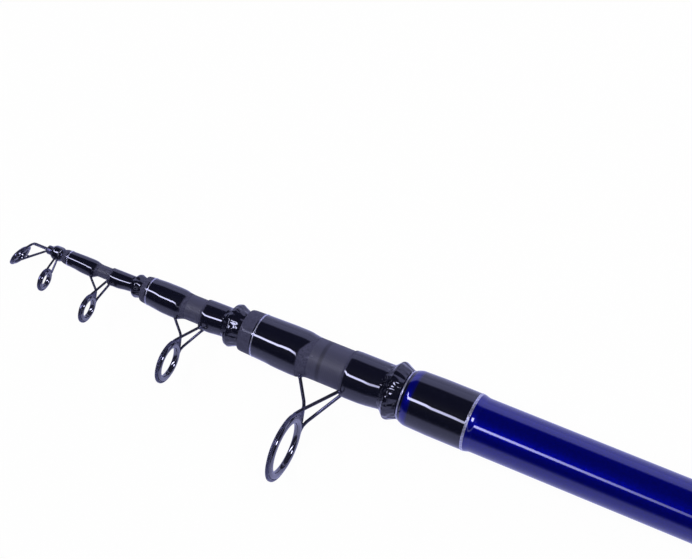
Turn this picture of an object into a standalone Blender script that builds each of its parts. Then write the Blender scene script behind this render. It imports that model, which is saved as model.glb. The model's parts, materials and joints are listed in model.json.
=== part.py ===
"""Telescopic surf rod in five sections, closed. Blender 4.5, metres, +Z up.

The rod lies on its side as on a table: its axis is world X, the tip points to -X and the line guides to -Y.
Every piece is drawn about the local Z axis of an empty, where Z runs from the butt to the tip and the
guides hang to -Y. A station is a distance along that Z, and a build-up is what a wrap adds to a radius.
"""

import math
from collections import namedtuple

import bmesh
import bpy
from mathutils import Matrix, Vector

MM = 0.001

# Lengths along the rod
BUTT_LENGTH = 905 * MM
BLANK_SHORTFALL = 5 * MM
BLANK_LENGTH = BUTT_LENGTH - BLANK_SHORTFALL
TIP_SHORTFALL = 14 * MM
TIP_BLANK_LENGTH = BLANK_LENGTH - TIP_SHORTFALL

# Blank diameters and walls
BUTT_FRONT_DIAMETER = 26.2 * MM
BUTT_REAR_DIAMETER = 27.2 * MM
BUTT_FRONT_WALL = 1.85 * MM
BUTT_REAR_WALL = 1.6 * MM
TIP_FRONT_DIAMETER = 2.2 * MM

# Clearances
SLIDE_CLEARANCE = 0.15 * MM
GLUE_GAP = 0.12 * MM
SEAT_GAP = 0.3 * MM
RUN_CLEARANCE = 0.25 * MM

# The lip of the butt section and its front wrap
LIP_STEP_DEPTH = 1.2 * MM
LIP_STEP_WALL = 0.4 * MM
LIP_CROWN_LENGTH = 3.0 * MM
LIP_CROWN_DROP = 1.0 * MM
LIP_TRIM_DIAMETER = 24.0 * MM
BUTT_WRAP_LENGTH = 37.3 * MM
BUTT_TRIM_STATION = 33.7 * MM
BUTT_TRIM_WIDTH = 1.5 * MM

# Guides
FOOT_THICKNESS = 0.6 * MM
FOOT_COVER = 0.12 * MM
FOOT_NARROWING = 0.45
LEG_SPREAD = 1.9
FRONT_FOOT_WIDTH = 2.1
LEG_BEND = 2.0
WEB_THICKNESS = 0.5
EDGE_SHARE = 0.25
THROAT_FLARE = 0.8
NOTCH_HEIGHT = 3.0 * MM
SHOULDER_ANGLE = math.radians(52)
SHOULDER_REACH = 0.36
NECK_RISE = 0.27
WEB_STEPS = 5
WEB_INSET = 0.12 * MM
INSERT_PROUD = 0.45 * MM
THROAT_STEPS = 3

# Tip-top and floating guide, measured from the lip of section 4
FLOAT_SLEEVE_LENGTH = 6.3 * MM
FLOAT_SLEEVE_WALL = 0.9 * MM
FLOAT_WINDING_DIAMETER = 7.3 * MM
FLOAT_WINDING_LENGTH = 5.4 * MM
FLOAT_LEG_SPREAD = 1.2
FLOAT_LEG_ANGLE = math.radians(35)
TIP_TUBE_DIAMETER = 3.2 * MM
TIP_TUBE_LENGTH = 6.2 * MM
TIP_SHOULDER_DIAMETER = 4.4 * MM
TIP_SHOULDER_LENGTH = 2.4 * MM
TIP_ROLL = math.radians(-36)
TIP_RING_LEAN = math.radians(28)
TIP_RING_REACH = 14.8 * MM
TIP_ARCH_REACH = 8.9 * MM
TIP_LEG_ANGLE = math.radians(100)
TIP_LEG_SPREAD = 0.6
TIP_KNEE_BEHIND = 1.25

# Handle
BUMPER_DIAMETER = 35.0 * MM
BUMPER_LENGTH = 25.0 * MM
BUMPER_WALL = 2.4 * MM
BUMPER_FLOOR = 3.0 * MM
BUMPER_ROUND = 2.0 * MM
CAP_SPIGOT_LENGTH = 20.0 * MM
CAP_WALL = 2.0 * MM
BUSH_FLANGE_THICKNESS = 2.5 * MM
BUSH_FLANGE_DIAMETER = 30.0 * MM
BUSH_WALL = 1.8 * MM
BUSH_LENGTH = 24.0 * MM
CUSHION_THICKNESS = 6.0 * MM
REAR_GRIP_LENGTH = 230 * MM
REAR_GRIP_DIAMETER = 32.0 * MM
GRIP_ROUND = 1.7 * MM
REEL_SEAT_STATION = 512 * MM
REEL_SEAT_LENGTH = 146 * MM
SEAT_OVER_BUTT = 3.8 * MM
REEL_SEAT_DIAMETER = BUTT_REAR_DIAMETER + SEAT_OVER_BUTT
REEL_SEAT_WALL = 1.55 * MM
BUSHING_LENGTH = 16.0 * MM
HOOD_OVER_SEAT = 3.4 * MM
HOOD_DIAMETER = REEL_SEAT_DIAMETER + HOOD_OVER_SEAT
HOOD_LENGTH = 24.0 * MM
HOOD_RING_LENGTH = 9.0 * MM
HOOD_WALL = 1.8 * MM
POCKET_HEIGHT = 5.2 * MM
POCKET_WIDTH = 14.0 * MM
POCKET_DEPTH = 13.0 * MM
HOOD_SQUARENESS = 5
HOOD_ARCH_STEPS = 8
HOOD_SHOULDER = 1.7
FOOT_GAP_OPEN = 74.0 * MM
LOCK_NUT_LENGTH = 16.0 * MM
NUT_OVER_SEAT = 3.6 * MM
LOCK_NUT_DIAMETER = REEL_SEAT_DIAMETER + NUT_OVER_SEAT
LOCK_NUT_FLUTES = 8
FLUTE_DIAMETER = 3.0 * MM
FORE_GRIP_LENGTH = 78 * MM
FORE_GRIP_DIAMETER = 32.0 * MM
TRIM_RING_LENGTH = 5.0 * MM
TRIM_RING_HEIGHT = 1.6 * MM

# Facets
BUTT_SIDES = 24
WIRE_RESOLUTION = 2
THIN_WIRE = 1.3 * MM
THIN_WIRE_RESOLUTION = 1
MERGE_DISTANCE = 0.01 * MM
WELD_DISTANCE = 0.0005 * MM
CUT_MARGIN = 2.0 * MM

Guide = namedtuple(
    "Guide",
    "drop diameter hole depth rim wire front_foot rear_foot front_tuck rear_tuck leg_lift ring_station sides",
)
Section = namedtuple(
    "Section",
    "name nose front_diameter front_wall rear_wall overlap collar rear_wrap front_wrap trim guide sides",
)

# A collar is (length, points of (share of its length, build-up)). A wrap is (start, end, points of (share,
# build-up, how far its outside is off centre towards the guide)).
SECTIONS = (
    Section(
        name="section_2",
        nose=84.0 * MM,
        front_diameter=20.1 * MM,
        front_wall=1.25 * MM,
        rear_wall=1.3 * MM,
        overlap=100 * MM,
        collar=(9.2 * MM, ((0, 1.7), (0.47, 3.8), (0.56, 4.0), (0.66, 3.7), (1, 0.75))),
        rear_wrap=(9.8 * MM, 29.7 * MM, ((0, 0.75, 0), (0.35, 1.2, 0.5), (0.88, 1.25, 0.6), (1, 0.75, 0.4))),
        front_wrap=(
            50.7 * MM,
            84.0 * MM,
            ((0, 0.7, 0.2), (0.05, 0.95, 0.3), (0.14, 1.1, 0.3), (0.35, 1.0, 0.2), (0.8, 0.42, 0), (1, 0.2, 0)),
        ),
        trim=76.4 * MM,
        guide=Guide(
            drop=44.9 * MM,
            diameter=34.0 * MM,
            hole=24.0 * MM,
            depth=1.6 * MM,
            rim=1.35 * MM,
            wire=1.5 * MM,
            front_foot=17.0 * MM,
            rear_foot=12.0 * MM,
            front_tuck=-0.9 * MM,
            rear_tuck=1.2 * MM,
            leg_lift=0.5 * MM,
            ring_station=41.7 * MM,
            sides=24,
        ),
        sides=24,
    ),
    Section(
        name="section_3",
        nose=56.0 * MM,
        front_diameter=12.5 * MM,
        front_wall=0.95 * MM,
        rear_wall=1.05 * MM,
        overlap=85 * MM,
        collar=(9.4 * MM, ((0, 1.7), (0.24, 3.4), (0.42, 4.2), (0.6, 3.7), (1, 0.9))),
        rear_wrap=(10.0 * MM, 22.8 * MM, ((0, 0.85, 0), (0.5, 1.1, 0.3), (0.88, 1.05, 0.35), (1, 0.75, 0.25))),
        front_wrap=(
            33.6 * MM,
            56.0 * MM,
            ((0, 0.7, 0.25), (0.06, 0.9, 0.3), (0.2, 1.05, 0.25), (0.57, 0.95, 0.15), (0.87, 0.4, 0), (1, 0.2, 0)),
        ),
        trim=52.1 * MM,
        guide=Guide(
            drop=28.9 * MM,
            diameter=21.9 * MM,
            hole=14.2 * MM,
            depth=1.4 * MM,
            rim=1.15 * MM,
            wire=1.25 * MM,
            front_foot=12.0 * MM,
            rear_foot=8.0 * MM,
            front_tuck=2.3 * MM,
            rear_tuck=2.2 * MM,
            leg_lift=1.2 * MM,
            ring_station=28.3 * MM,
            sides=20,
        ),
        sides=20,
    ),
    Section(
        name="section_4",
        nose=46.6 * MM,
        front_diameter=6.2 * MM,
        front_wall=0.68 * MM,
        rear_wall=0.8 * MM,
        overlap=70 * MM,
        collar=(5.6 * MM, ((0, 1.7), (0.25, 2.4), (0.5, 2.65), (0.72, 2.2), (1, 0.65))),
        rear_wrap=(6.2 * MM, 19.5 * MM, ((0, 0.6, 0), (0.5, 0.95, 0.4), (0.88, 0.95, 0.45), (1, 0.8, 0.35))),
        front_wrap=(
            27.5 * MM,
            46.6 * MM,
            ((0, 0.7, 0.2), (0.07, 0.9, 0.25), (0.18, 1.0, 0.25), (0.4, 0.9, 0.15), (0.87, 0.55, 0), (1, 0.3, 0)),
        ),
        trim=42.9 * MM,
        guide=Guide(
            drop=20.0 * MM,
            diameter=14.8 * MM,
            hole=8.6 * MM,
            depth=1.25 * MM,
            rim=1.0 * MM,
            wire=1.1 * MM,
            front_foot=10.0 * MM,
            rear_foot=8.0 * MM,
            front_tuck=2.1 * MM,
            rear_tuck=0.8 * MM,
            leg_lift=0.8 * MM,
            ring_station=22.4 * MM,
            sides=16,
        ),
        sides=16,
    ),
)
TIP_OVERLAP = 60 * MM
TIP_SIDES = 12
SLEEVE_SIDES = 16
TRIM_WIDTH = 0.7 * MM
LIP_TRIM_WIDTH = 1.1 * MM
FLOAT_GUIDE = Guide(
    drop=14.9 * MM,
    diameter=11.8 * MM,
    hole=6.0 * MM,
    depth=1.15 * MM,
    rim=0.9 * MM,
    wire=1.0 * MM,
    front_foot=0,
    rear_foot=0,
    front_tuck=0,
    rear_tuck=0,
    leg_lift=0,
    ring_station=3.3 * MM,
    sides=16,
)
TIP_GUIDE = Guide(
    drop=8.5 * MM,
    diameter=12.9 * MM,
    hole=7.2 * MM,
    depth=1.15 * MM,
    rim=0.95 * MM,
    wire=1.0 * MM,
    front_foot=0,
    rear_foot=0,
    front_tuck=0,
    rear_tuck=0,
    leg_lift=0,
    ring_station=0,
    sides=16,
)


# Scene and materials


def clear_scene():
    for old in list(bpy.data.objects):
        bpy.data.objects.remove(old, do_unlink=True)


def new_collection(name):
    collection = bpy.data.collections.new(name)
    bpy.context.scene.collection.children.link(collection)
    return collection


def linear(channel):
    return channel / 12.92 if channel <= 0.04045 else ((channel + 0.055) / 1.055) ** 2.4


def make_material(name, colour, roughness, metallic=0.0):
    material = bpy.data.materials.new(name)
    material.use_nodes = True
    shader = material.node_tree.nodes["Principled BSDF"]
    rgb = [linear(int(colour[i : i + 2], 16) / 255) for i in (0, 2, 4)]
    shader.inputs["Base Color"].default_value = (*rgb, 1)
    shader.inputs["Roughness"].default_value = roughness
    shader.inputs["Metallic"].default_value = metallic
    material.diffuse_color = (*rgb, 1)
    return material


clear_scene()
PARTS = new_collection("surf_rod")
CUTTERS = new_collection("cutters")
LOOKS = {
    "blue_blank": make_material("Blue lacquered blank", "0E1496", 0.15),
    "carbon_blank": make_material("Matte graphite blank", "46465A", 0.55),
    "black_wrap": make_material("Black thread under epoxy", "0B0B14", 0.12),
    "silver_thread": make_material("Silver metallic thread", "B4B4C6", 0.3, 0.8),
    "guide_frame": make_material("Gunmetal plated frame", "3A3A4C", 0.25, 0.9),
    "guide_ring": make_material("Black ceramic ring", "0A0A12", 0.1),
    "grip_foam": make_material("Black grip foam", "1A1A1C", 0.85),
    "seat_nylon": make_material("Black graphite nylon", "17171C", 0.4),
    "seat_metal": make_material("Dark anodised aluminium", "55555F", 0.3, 1.0),
    "cap_rubber": make_material("Black rubber", "141416", 0.8),
    "cushion_foam": make_material("Grey closed-cell foam", "5A5A60", 0.9),
}


# Basic shapes


def adopt(obj, look, parent, cutter=False):
    """Puts the object in its collection, under its parent's axis, with its material."""
    (CUTTERS if cutter else PARTS).objects.link(obj)
    obj.parent = parent
    if cutter:
        obj.hide_render = True
        obj.display_type = "WIRE"
    elif look:
        obj.data.materials.append(LOOKS[look])
    return obj


def axis_empty(name, parent, station):
    empty = bpy.data.objects.new(name, None)
    PARTS.objects.link(empty)
    empty.parent = parent
    empty.location = (0, 0, station)
    return empty


def turned(name, outer, inner, sides, look, parent, cutter=False):
    """A solid of revolution about Z. Both sides list (station, radius) from rear to front."""
    down = list(reversed(outer))
    profile = down + inner if outer[-1][1] == 0 else inner + down
    points = [(radius, 0, station) for station, radius in profile]
    closed = min(radius for _, radius in profile) > 0
    edges = [(i, i + 1) for i in range(len(points) - 1)]
    if closed:
        edges.append((len(points) - 1, 0))
    mesh = bpy.data.meshes.new(name)
    mesh.from_pydata(points, edges, [])
    obj = adopt(bpy.data.objects.new(name, mesh), look, parent, cutter)
    screw = obj.modifiers.new("Turn", "SCREW")
    screw.axis = "Z"
    screw.steps = screw.render_steps = sides
    screw.use_merge_vertices = True
    screw.merge_threshold = MERGE_DISTANCE
    screw.use_smooth_shade = True
    return obj


def plain_cylinder(name, radius, start, end, sides, parent):
    """A solid cylinder that cuts other pieces or is fused with them."""
    return turned(name, [(start, 0), (start, radius), (end, radius), (end, 0)], [], sides, None, parent, True)


def wire(name, points, radius, parent):
    curve = bpy.data.curves.new(name, "CURVE")
    curve.dimensions = "3D"
    curve.bevel_depth = radius
    curve.bevel_resolution = THIN_WIRE_RESOLUTION if 2 * radius < THIN_WIRE else WIRE_RESOLUTION
    curve.use_fill_caps = True
    spline = curve.splines.new("POLY")
    spline.points.add(len(points) - 1)
    for spot, point in zip(spline.points, points):
        spot.co = (*point, 1)
    return adopt(bpy.data.objects.new(name, curve), None, parent, True)


def bent(corners, bend):
    """The corners as a path whose inner corners are rounded."""
    path = [corners[0]]
    for before, corner, after in zip(corners, corners[1:], corners[2:]):
        back = (before - corner).normalized()
        on = (after - corner).normalized()
        reach = min(bend, (before - corner).length / 2, (after - corner).length / 2)
        start, end = corner + back * reach, corner + on * reach
        for step in (0, 0.5, 1):
            path.append(start.lerp(corner, step).lerp(corner.lerp(end, step), step))
    return path + [corners[-1]]


def baked(obj):
    """Turns the object's evaluated shape into a plain mesh with welded caps, under the same name."""
    bpy.context.view_layer.update()
    graph = bpy.context.evaluated_depsgraph_get()
    mesh = bpy.data.meshes.new_from_object(obj.evaluated_get(graph))
    work = bmesh.new()
    work.from_mesh(mesh)
    bmesh.ops.remove_doubles(work, verts=work.verts, dist=WELD_DISTANCE)
    work.to_mesh(mesh)
    work.free()
    name, place, parent = obj.name, obj.matrix_basis.copy(), obj.parent
    home = obj.users_collection[0]
    hidden = obj.hide_render
    bpy.data.objects.remove(obj, do_unlink=True)
    solid = bpy.data.objects.new(name, mesh)
    home.objects.link(solid)
    solid.parent = parent
    solid.matrix_basis = place
    solid.hide_render = hidden
    if hidden:
        solid.display_type = "WIRE"
    return solid


def boolean(obj, operation, others):
    for other in others:
        modifier = obj.modifiers.new(f"{operation.title()} {other.name}", "BOOLEAN")
        modifier.operation = operation
        modifier.object = other
    return obj


def fused(name, pieces, cuts, look, later_pieces=(), later_cuts=()):
    """One solid from overlapping pieces less the cuts, then with more pieces and less more cuts."""
    solids = [baked(piece) for piece in pieces]
    later = [baked(piece) for piece in later_pieces]
    body, rest = solids[0], solids[1:]
    boolean(body, "UNION", rest)
    boolean(body, "DIFFERENCE", cuts)
    boolean(body, "UNION", later)
    boolean(body, "DIFFERENCE", later_cuts)
    body = baked(body)
    for piece in rest + later:
        bpy.data.objects.remove(piece, do_unlink=True)
    body.name = name
    CUTTERS.objects.unlink(body)
    PARTS.objects.link(body)
    body.hide_render = False
    body.display_type = "TEXTURED"
    body.data.materials.clear()
    body.data.materials.append(LOOKS[look])
    body.data.shade_smooth()
    body.data.set_sharp_from_angle(angle=math.radians(40))
    return body


def between(start, end, share):
    return start + (end - start) * share


# Blanks


class Taper:
    """The outer and inner radius of a tapered tube at any station."""

    def __init__(self, rear, front, rear_radius, front_radius, rear_wall, front_wall):
        self.rear, self.front = rear, front
        self.rear_radius, self.front_radius = rear_radius, front_radius
        self.rear_wall, self.front_wall = rear_wall, front_wall

    def outer(self, station):
        share = (station - self.rear) / (self.front - self.rear)
        return between(self.rear_radius, self.front_radius, share)

    def inner(self, station):
        share = (station - self.rear) / (self.front - self.rear)
        return self.outer(station) - between(self.rear_wall, self.front_wall, share)


def tube_blank(name, taper, sides, look, parent):
    ends = (taper.rear, taper.front)
    outer = [(station, taper.outer(station)) for station in ends]
    inner = [(station, taper.inner(station)) for station in ends]
    return turned(name, outer, inner, sides, look, parent)


def make_butt_blank(taper, parent):
    """The butt blank, whose lip is crowned and stepped for the silver ring."""
    lip_bore = taper.inner(taper.front)
    step = taper.front - LIP_STEP_DEPTH
    crown = taper.front - LIP_CROWN_LENGTH
    outer = [
        (taper.rear, taper.outer(taper.rear)),
        (crown, taper.outer(crown)),
        (step, taper.outer(step) - LIP_CROWN_DROP),
        (step, lip_bore + LIP_STEP_WALL),
        (taper.front, lip_bore + LIP_STEP_WALL),
    ]
    inner = [(taper.rear, taper.inner(taper.rear)), (taper.front, lip_bore)]
    return turned("butt_blank", outer, inner, BUTT_SIDES, "blue_blank", parent)


# Wraps, collars and their silver rings


def wrap_profile(taper, start, end, build_up):
    """The outer side of a wrap, as (station, radius)."""
    profile = []
    for share, height, *_ in build_up:
        station = between(start, end, share)
        profile.append((station, taper.outer(station) + GLUE_GAP + height * MM))
    return profile


def with_groove(profile, station, width, floor):
    """The profile with a groove cut across it, down to the floor radius."""
    rear, front = station - width / 2, station + width / 2
    before = [point for point in profile if point[0] < rear]
    after = [point for point in profile if point[0] > front]
    last, first = before[-1], after[0]

    def height(place):
        return between(last[1], first[1], (place - last[0]) / (first[0] - last[0]))

    groove = [(rear, height(rear)), (rear, floor), (front, floor), (front, height(front))]
    return before + groove + after, height(station)


def make_trim(name, station, width, floor, top, sides, parent):
    half = width / 2 - GLUE_GAP
    outer = [(station - half, top), (station + half, top)]
    bottom = floor + GLUE_GAP
    inner = [(station - half, bottom), (station + half, bottom)]
    return turned(name, outer, inner, sides, "silver_thread", parent)


def off_centre(obj, taper, offsets):
    """Moves the outside of a turned piece towards the guides, by offsets given at stations."""
    obj = baked(obj)
    for vertex in obj.data.vertices:
        x, y, station = vertex.co
        if math.hypot(x, y) < taper.outer(station) + 1.5 * GLUE_GAP:
            continue
        for (near, first), (far, last) in zip(offsets, offsets[1:]):
            if near - MERGE_DISTANCE <= station <= far + MERGE_DISTANCE:
                vertex.co.y = y - between(first, last, (station - near) / (far - near))
                break
    return obj


def make_wrap(name, taper, span, sides, parent, trim=None, pockets=()):
    start, end, build_up = span
    outer = wrap_profile(taper, start, end, build_up)
    if trim:
        trim_name, station, width = trim
        floor = taper.outer(station) + 2 * GLUE_GAP
        outer, top = with_groove(outer, station, width, floor)
        make_trim(trim_name, station, width, floor, top, sides, parent)
    inner = [(station, taper.outer(station) + GLUE_GAP) for station in (start, end)]
    body = turned(name, outer, inner, sides, "black_wrap", parent)
    offsets = [(between(start, end, share), offset * MM) for share, _, offset in build_up]
    return boolean(off_centre(body, taper, offsets), "DIFFERENCE", pockets)


def make_collar(name, taper, collar, sides, parent):
    length, build_up = collar
    start = SEAT_GAP
    outer = wrap_profile(taper, start, start + length, build_up)
    inner = [(station, taper.outer(station) + GLUE_GAP) for station in (start, start + length)]
    return turned(name, outer, inner, sides, "black_wrap", parent)


# Guides


def foot_plate(name, taper, near, far, width, narrowing, lift, thickness, parent):
    """A strip that lies on the blank on the guide side, narrowing towards its far end."""
    mesh = bpy.data.meshes.new(name)
    work = bmesh.new()
    bmesh.ops.create_grid(work, x_segments=3, y_segments=3, size=1)
    for vertex in work.verts:
        share = (vertex.co.y + 1) / 2
        station = between(near, far, share) if far > near else between(far, near, share)
        outward = abs(station - near) / abs(far - near)
        radius = taper.outer(station) + lift
        angle = vertex.co.x * width / 2 * (1 - narrowing * outward**2) / radius
        vertex.co = (radius * math.sin(angle), -radius * math.cos(angle), station)
    work.to_mesh(mesh)
    work.free()
    obj = adopt(bpy.data.objects.new(name, mesh), None, parent, True)
    solid = obj.modifiers.new("Thickness", "SOLIDIFY")
    solid.thickness = thickness
    solid.offset = 1
    return obj


def foot_and_pocket(name, taper, near, far, width, parent):
    foot = foot_plate(name, taper, near, far, width, FOOT_NARROWING, GLUE_GAP, FOOT_THICKNESS, parent)
    reach = SEAT_GAP if far > near else -SEAT_GAP
    pocket = baked(
        foot_plate(
            f"{name}_pocket",
            taper,
            near - reach,
            far + reach,
            width + 2 * SEAT_GAP,
            FOOT_NARROWING,
            -GLUE_GAP,
            FOOT_THICKNESS + 2 * GLUE_GAP + FOOT_COVER,
            parent,
        )
    )
    return foot, pocket


def notch(name, taper, near, far, width, parent):
    """The cutter for the gap in a wrap's edge through which the legs leave it."""
    return baked(
        foot_plate(name, taper, near, far, width + 2 * SEAT_GAP, 0, -GLUE_GAP, NOTCH_HEIGHT, parent)
    )


def ring_profiles(guide):
    """The frame's rim and the ceramic ring in it, about the ring's own centre."""
    radius, half = guide.diameter / 2, guide.depth / 2
    bore = radius - guide.rim
    edge = guide.rim * EDGE_SHARE
    rim = [(-half, radius - edge), (edge - half, radius), (half - edge, radius), (half, radius - edge)]
    rim_bore = [(-half, bore), (half, bore)]
    proud = half + INSERT_PROUD
    body = bore - GLUE_GAP
    insert = [(-proud, body - edge), (edge - proud, body), (proud - edge, body), (proud, body - edge)]
    throat = []
    for step in range(THROAT_STEPS + 1):
        turn = math.pi * (step / THROAT_STEPS - 0.5)
        flare = proud * (1 - math.cos(turn)) * THROAT_FLARE
        throat.append((proud * math.sin(turn), guide.hole / 2 + flare))
    return rim, rim_bore, insert, throat


def make_ring(name, guide, place, parent):
    """The rim as a piece to be fused, the ceramic ring, and the cutter that ends wires inside the rim."""
    rim, rim_bore, insert, throat = ring_profiles(guide)
    holder = turned(f"{name}_rim", rim, rim_bore, guide.sides, None, parent, True)
    ring = turned(f"{name}_ring", insert, throat, guide.sides, "guide_ring", parent)
    reach = (guide.depth + guide.wire) / 2
    keep_out = plain_cylinder(
        f"{name}_ring_space", (guide.diameter - guide.rim) / 2, -reach, reach, guide.sides, parent
    )
    for obj in (holder, ring, keep_out):
        obj.matrix_basis = place
    return holder, keep_out


def on_tangent(guide, side, reach):
    """A point on the line that leaves the rim at the shoulder, as (across, up) from the ring's centre."""
    radius = (guide.diameter - guide.rim) / 2
    sine, cosine = math.sin(SHOULDER_ANGLE), math.cos(SHOULDER_ANGLE)
    return side * radius * (sine - reach * cosine), radius * (cosine + reach * sine)


def leg_plane(guide):
    """How far in front of the ring's centre the legs and the web lie."""
    return WEB_INSET + WEB_THICKNESS * guide.wire / 2 - guide.depth / 2


def neck_height(guide):
    """How high the web's top stands over the ring's centre."""
    return guide.diameter / 2 * (1 + NECK_RISE)


def gusset(name, guide, place, parent):
    """The flat web over the top of the rim, whose three corners carry the legs."""
    radius = (guide.diameter - guide.rim) / 2
    outline = []
    for step in range(WEB_STEPS + 1):
        angle = SHOULDER_ANGLE * (2 * step / WEB_STEPS - 1)
        outline.append((radius * math.sin(angle), radius * math.cos(angle)))
    outline.append(on_tangent(guide, 1, SHOULDER_REACH))
    outline.append((0, neck_height(guide)))
    outline.append(on_tangent(guide, -1, SHOULDER_REACH))
    curve = bpy.data.curves.new(name, "CURVE")
    curve.dimensions = "2D"
    curve.fill_mode = "BOTH"
    curve.extrude = WEB_THICKNESS * guide.wire / 2
    spline = curve.splines.new("POLY")
    spline.points.add(len(outline) - 1)
    for spot, (across, up) in zip(spline.points, outline):
        spot.co = (across, up, 0, 1)
    spline.use_cyclic_u = True
    web = adopt(bpy.data.objects.new(name, curve), None, parent, True)
    web.matrix_basis = place @ Matrix.Translation((0, 0, leg_plane(guide)))
    return web


def side_leg(name, guide, taper, root, side, parent):
    """A rear leg, from its foot to the web's corner and on along the rim's tangent."""
    radius = guide.wire / 2
    across = side * LEG_SPREAD * guide.wire
    around = taper.outer(root) + GLUE_GAP + radius
    seat = -math.sqrt(around**2 - across**2)
    plane = guide.ring_station + leg_plane(guide)
    path = [
        Vector((across, seat, root - radius)),
        Vector((across, seat - guide.leg_lift, root + radius / 2)),
    ]
    for reach in (SHOULDER_REACH, 0):
        out, up = on_tangent(guide, side, reach)
        path.append(Vector((out, up - guide.drop, plane)))
    return wire(name, bent(path, LEG_BEND * guide.wire), radius, parent)


def make_fixed_guide(name, guide, taper, rear_edge, front_edge, parent):
    """A stand-off guide with one leg forward and two back. Returns the cutters for its two wraps."""
    place = Matrix.Translation((0, -guide.drop, guide.ring_station))
    rim, keep_out = make_ring(name, guide, place, parent)
    radius = guide.wire / 2
    root = rear_edge - guide.rear_tuck
    fork = (2 * LEG_SPREAD + 1) * guide.wire
    tongue = FRONT_FOOT_WIDTH * guide.wire
    rear_foot, rear_pocket = foot_and_pocket(
        f"{name}_rear_foot", taper, root + radius, rear_edge - guide.rear_foot, fork, parent
    )
    rear_notch = notch(
        f"{name}_rear_notch", taper, rear_edge + SEAT_GAP, root - guide.wire - SEAT_GAP, fork, parent
    )
    start = front_edge + guide.front_tuck + radius
    front_foot, front_pocket = foot_and_pocket(
        f"{name}_front_foot", taper, start - guide.wire, front_edge + guide.front_foot, tongue, parent
    )
    front_notch = notch(
        f"{name}_front_notch", taper, front_edge - SEAT_GAP, start + SEAT_GAP, tongue, parent
    )
    pieces = [rear_foot, front_foot, gusset(f"{name}_web", guide, place, parent)]
    plane = guide.ring_station + leg_plane(guide)
    seat = -(taper.outer(start) + GLUE_GAP + radius)
    front_path = [
        Vector((0, seat, start)),
        Vector((0, seat - radius / 2, start - radius)),
        Vector((0, neck_height(guide) - guide.drop, plane)),
        Vector((0, (guide.diameter - guide.rim) / 2 - guide.drop, plane)),
    ]
    pieces.append(wire(f"{name}_front_leg", bent(front_path, LEG_BEND * guide.wire), radius, parent))
    for side in (-1, 1):
        pieces.append(side_leg(f"{name}_rear_leg_{side}", guide, taper, root, side, parent))
    fused(f"{name}_frame", pieces, [keep_out], "guide_frame", [rim])
    return [rear_pocket, rear_notch], [front_pocket, front_notch]


# Sections


def make_section(section, bore, parent):
    """Sections 2 to 4. The origin is the lip of the section behind, and the bore is that section's taper."""
    axis = axis_empty(f"{section.name}_axis", parent, bore.front)
    rear = section.nose - BLANK_LENGTH
    jam = bore.inner(bore.front - section.overlap) - SLIDE_CLEARANCE
    taper = Taper(rear, section.nose, jam, section.front_diameter / 2, section.rear_wall, section.front_wall)
    name = section.name
    tube_blank(f"{name}_blank", taper, section.sides, "carbon_blank", axis)
    make_collar(f"{name}_collar", taper, section.collar, section.sides, axis)
    rear_cuts, front_cuts = make_fixed_guide(
        f"{name}_guide", section.guide, taper, section.rear_wrap[1], section.front_wrap[0], axis
    )
    make_wrap(f"{name}_rear_wrap", taper, section.rear_wrap, section.sides, axis, pockets=rear_cuts)
    trim = (f"{name}_trim", section.trim, TRIM_WIDTH + 2 * GLUE_GAP)
    make_wrap(f"{name}_front_wrap", taper, section.front_wrap, section.sides, axis, trim, front_cuts)
    return axis, taper


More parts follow.
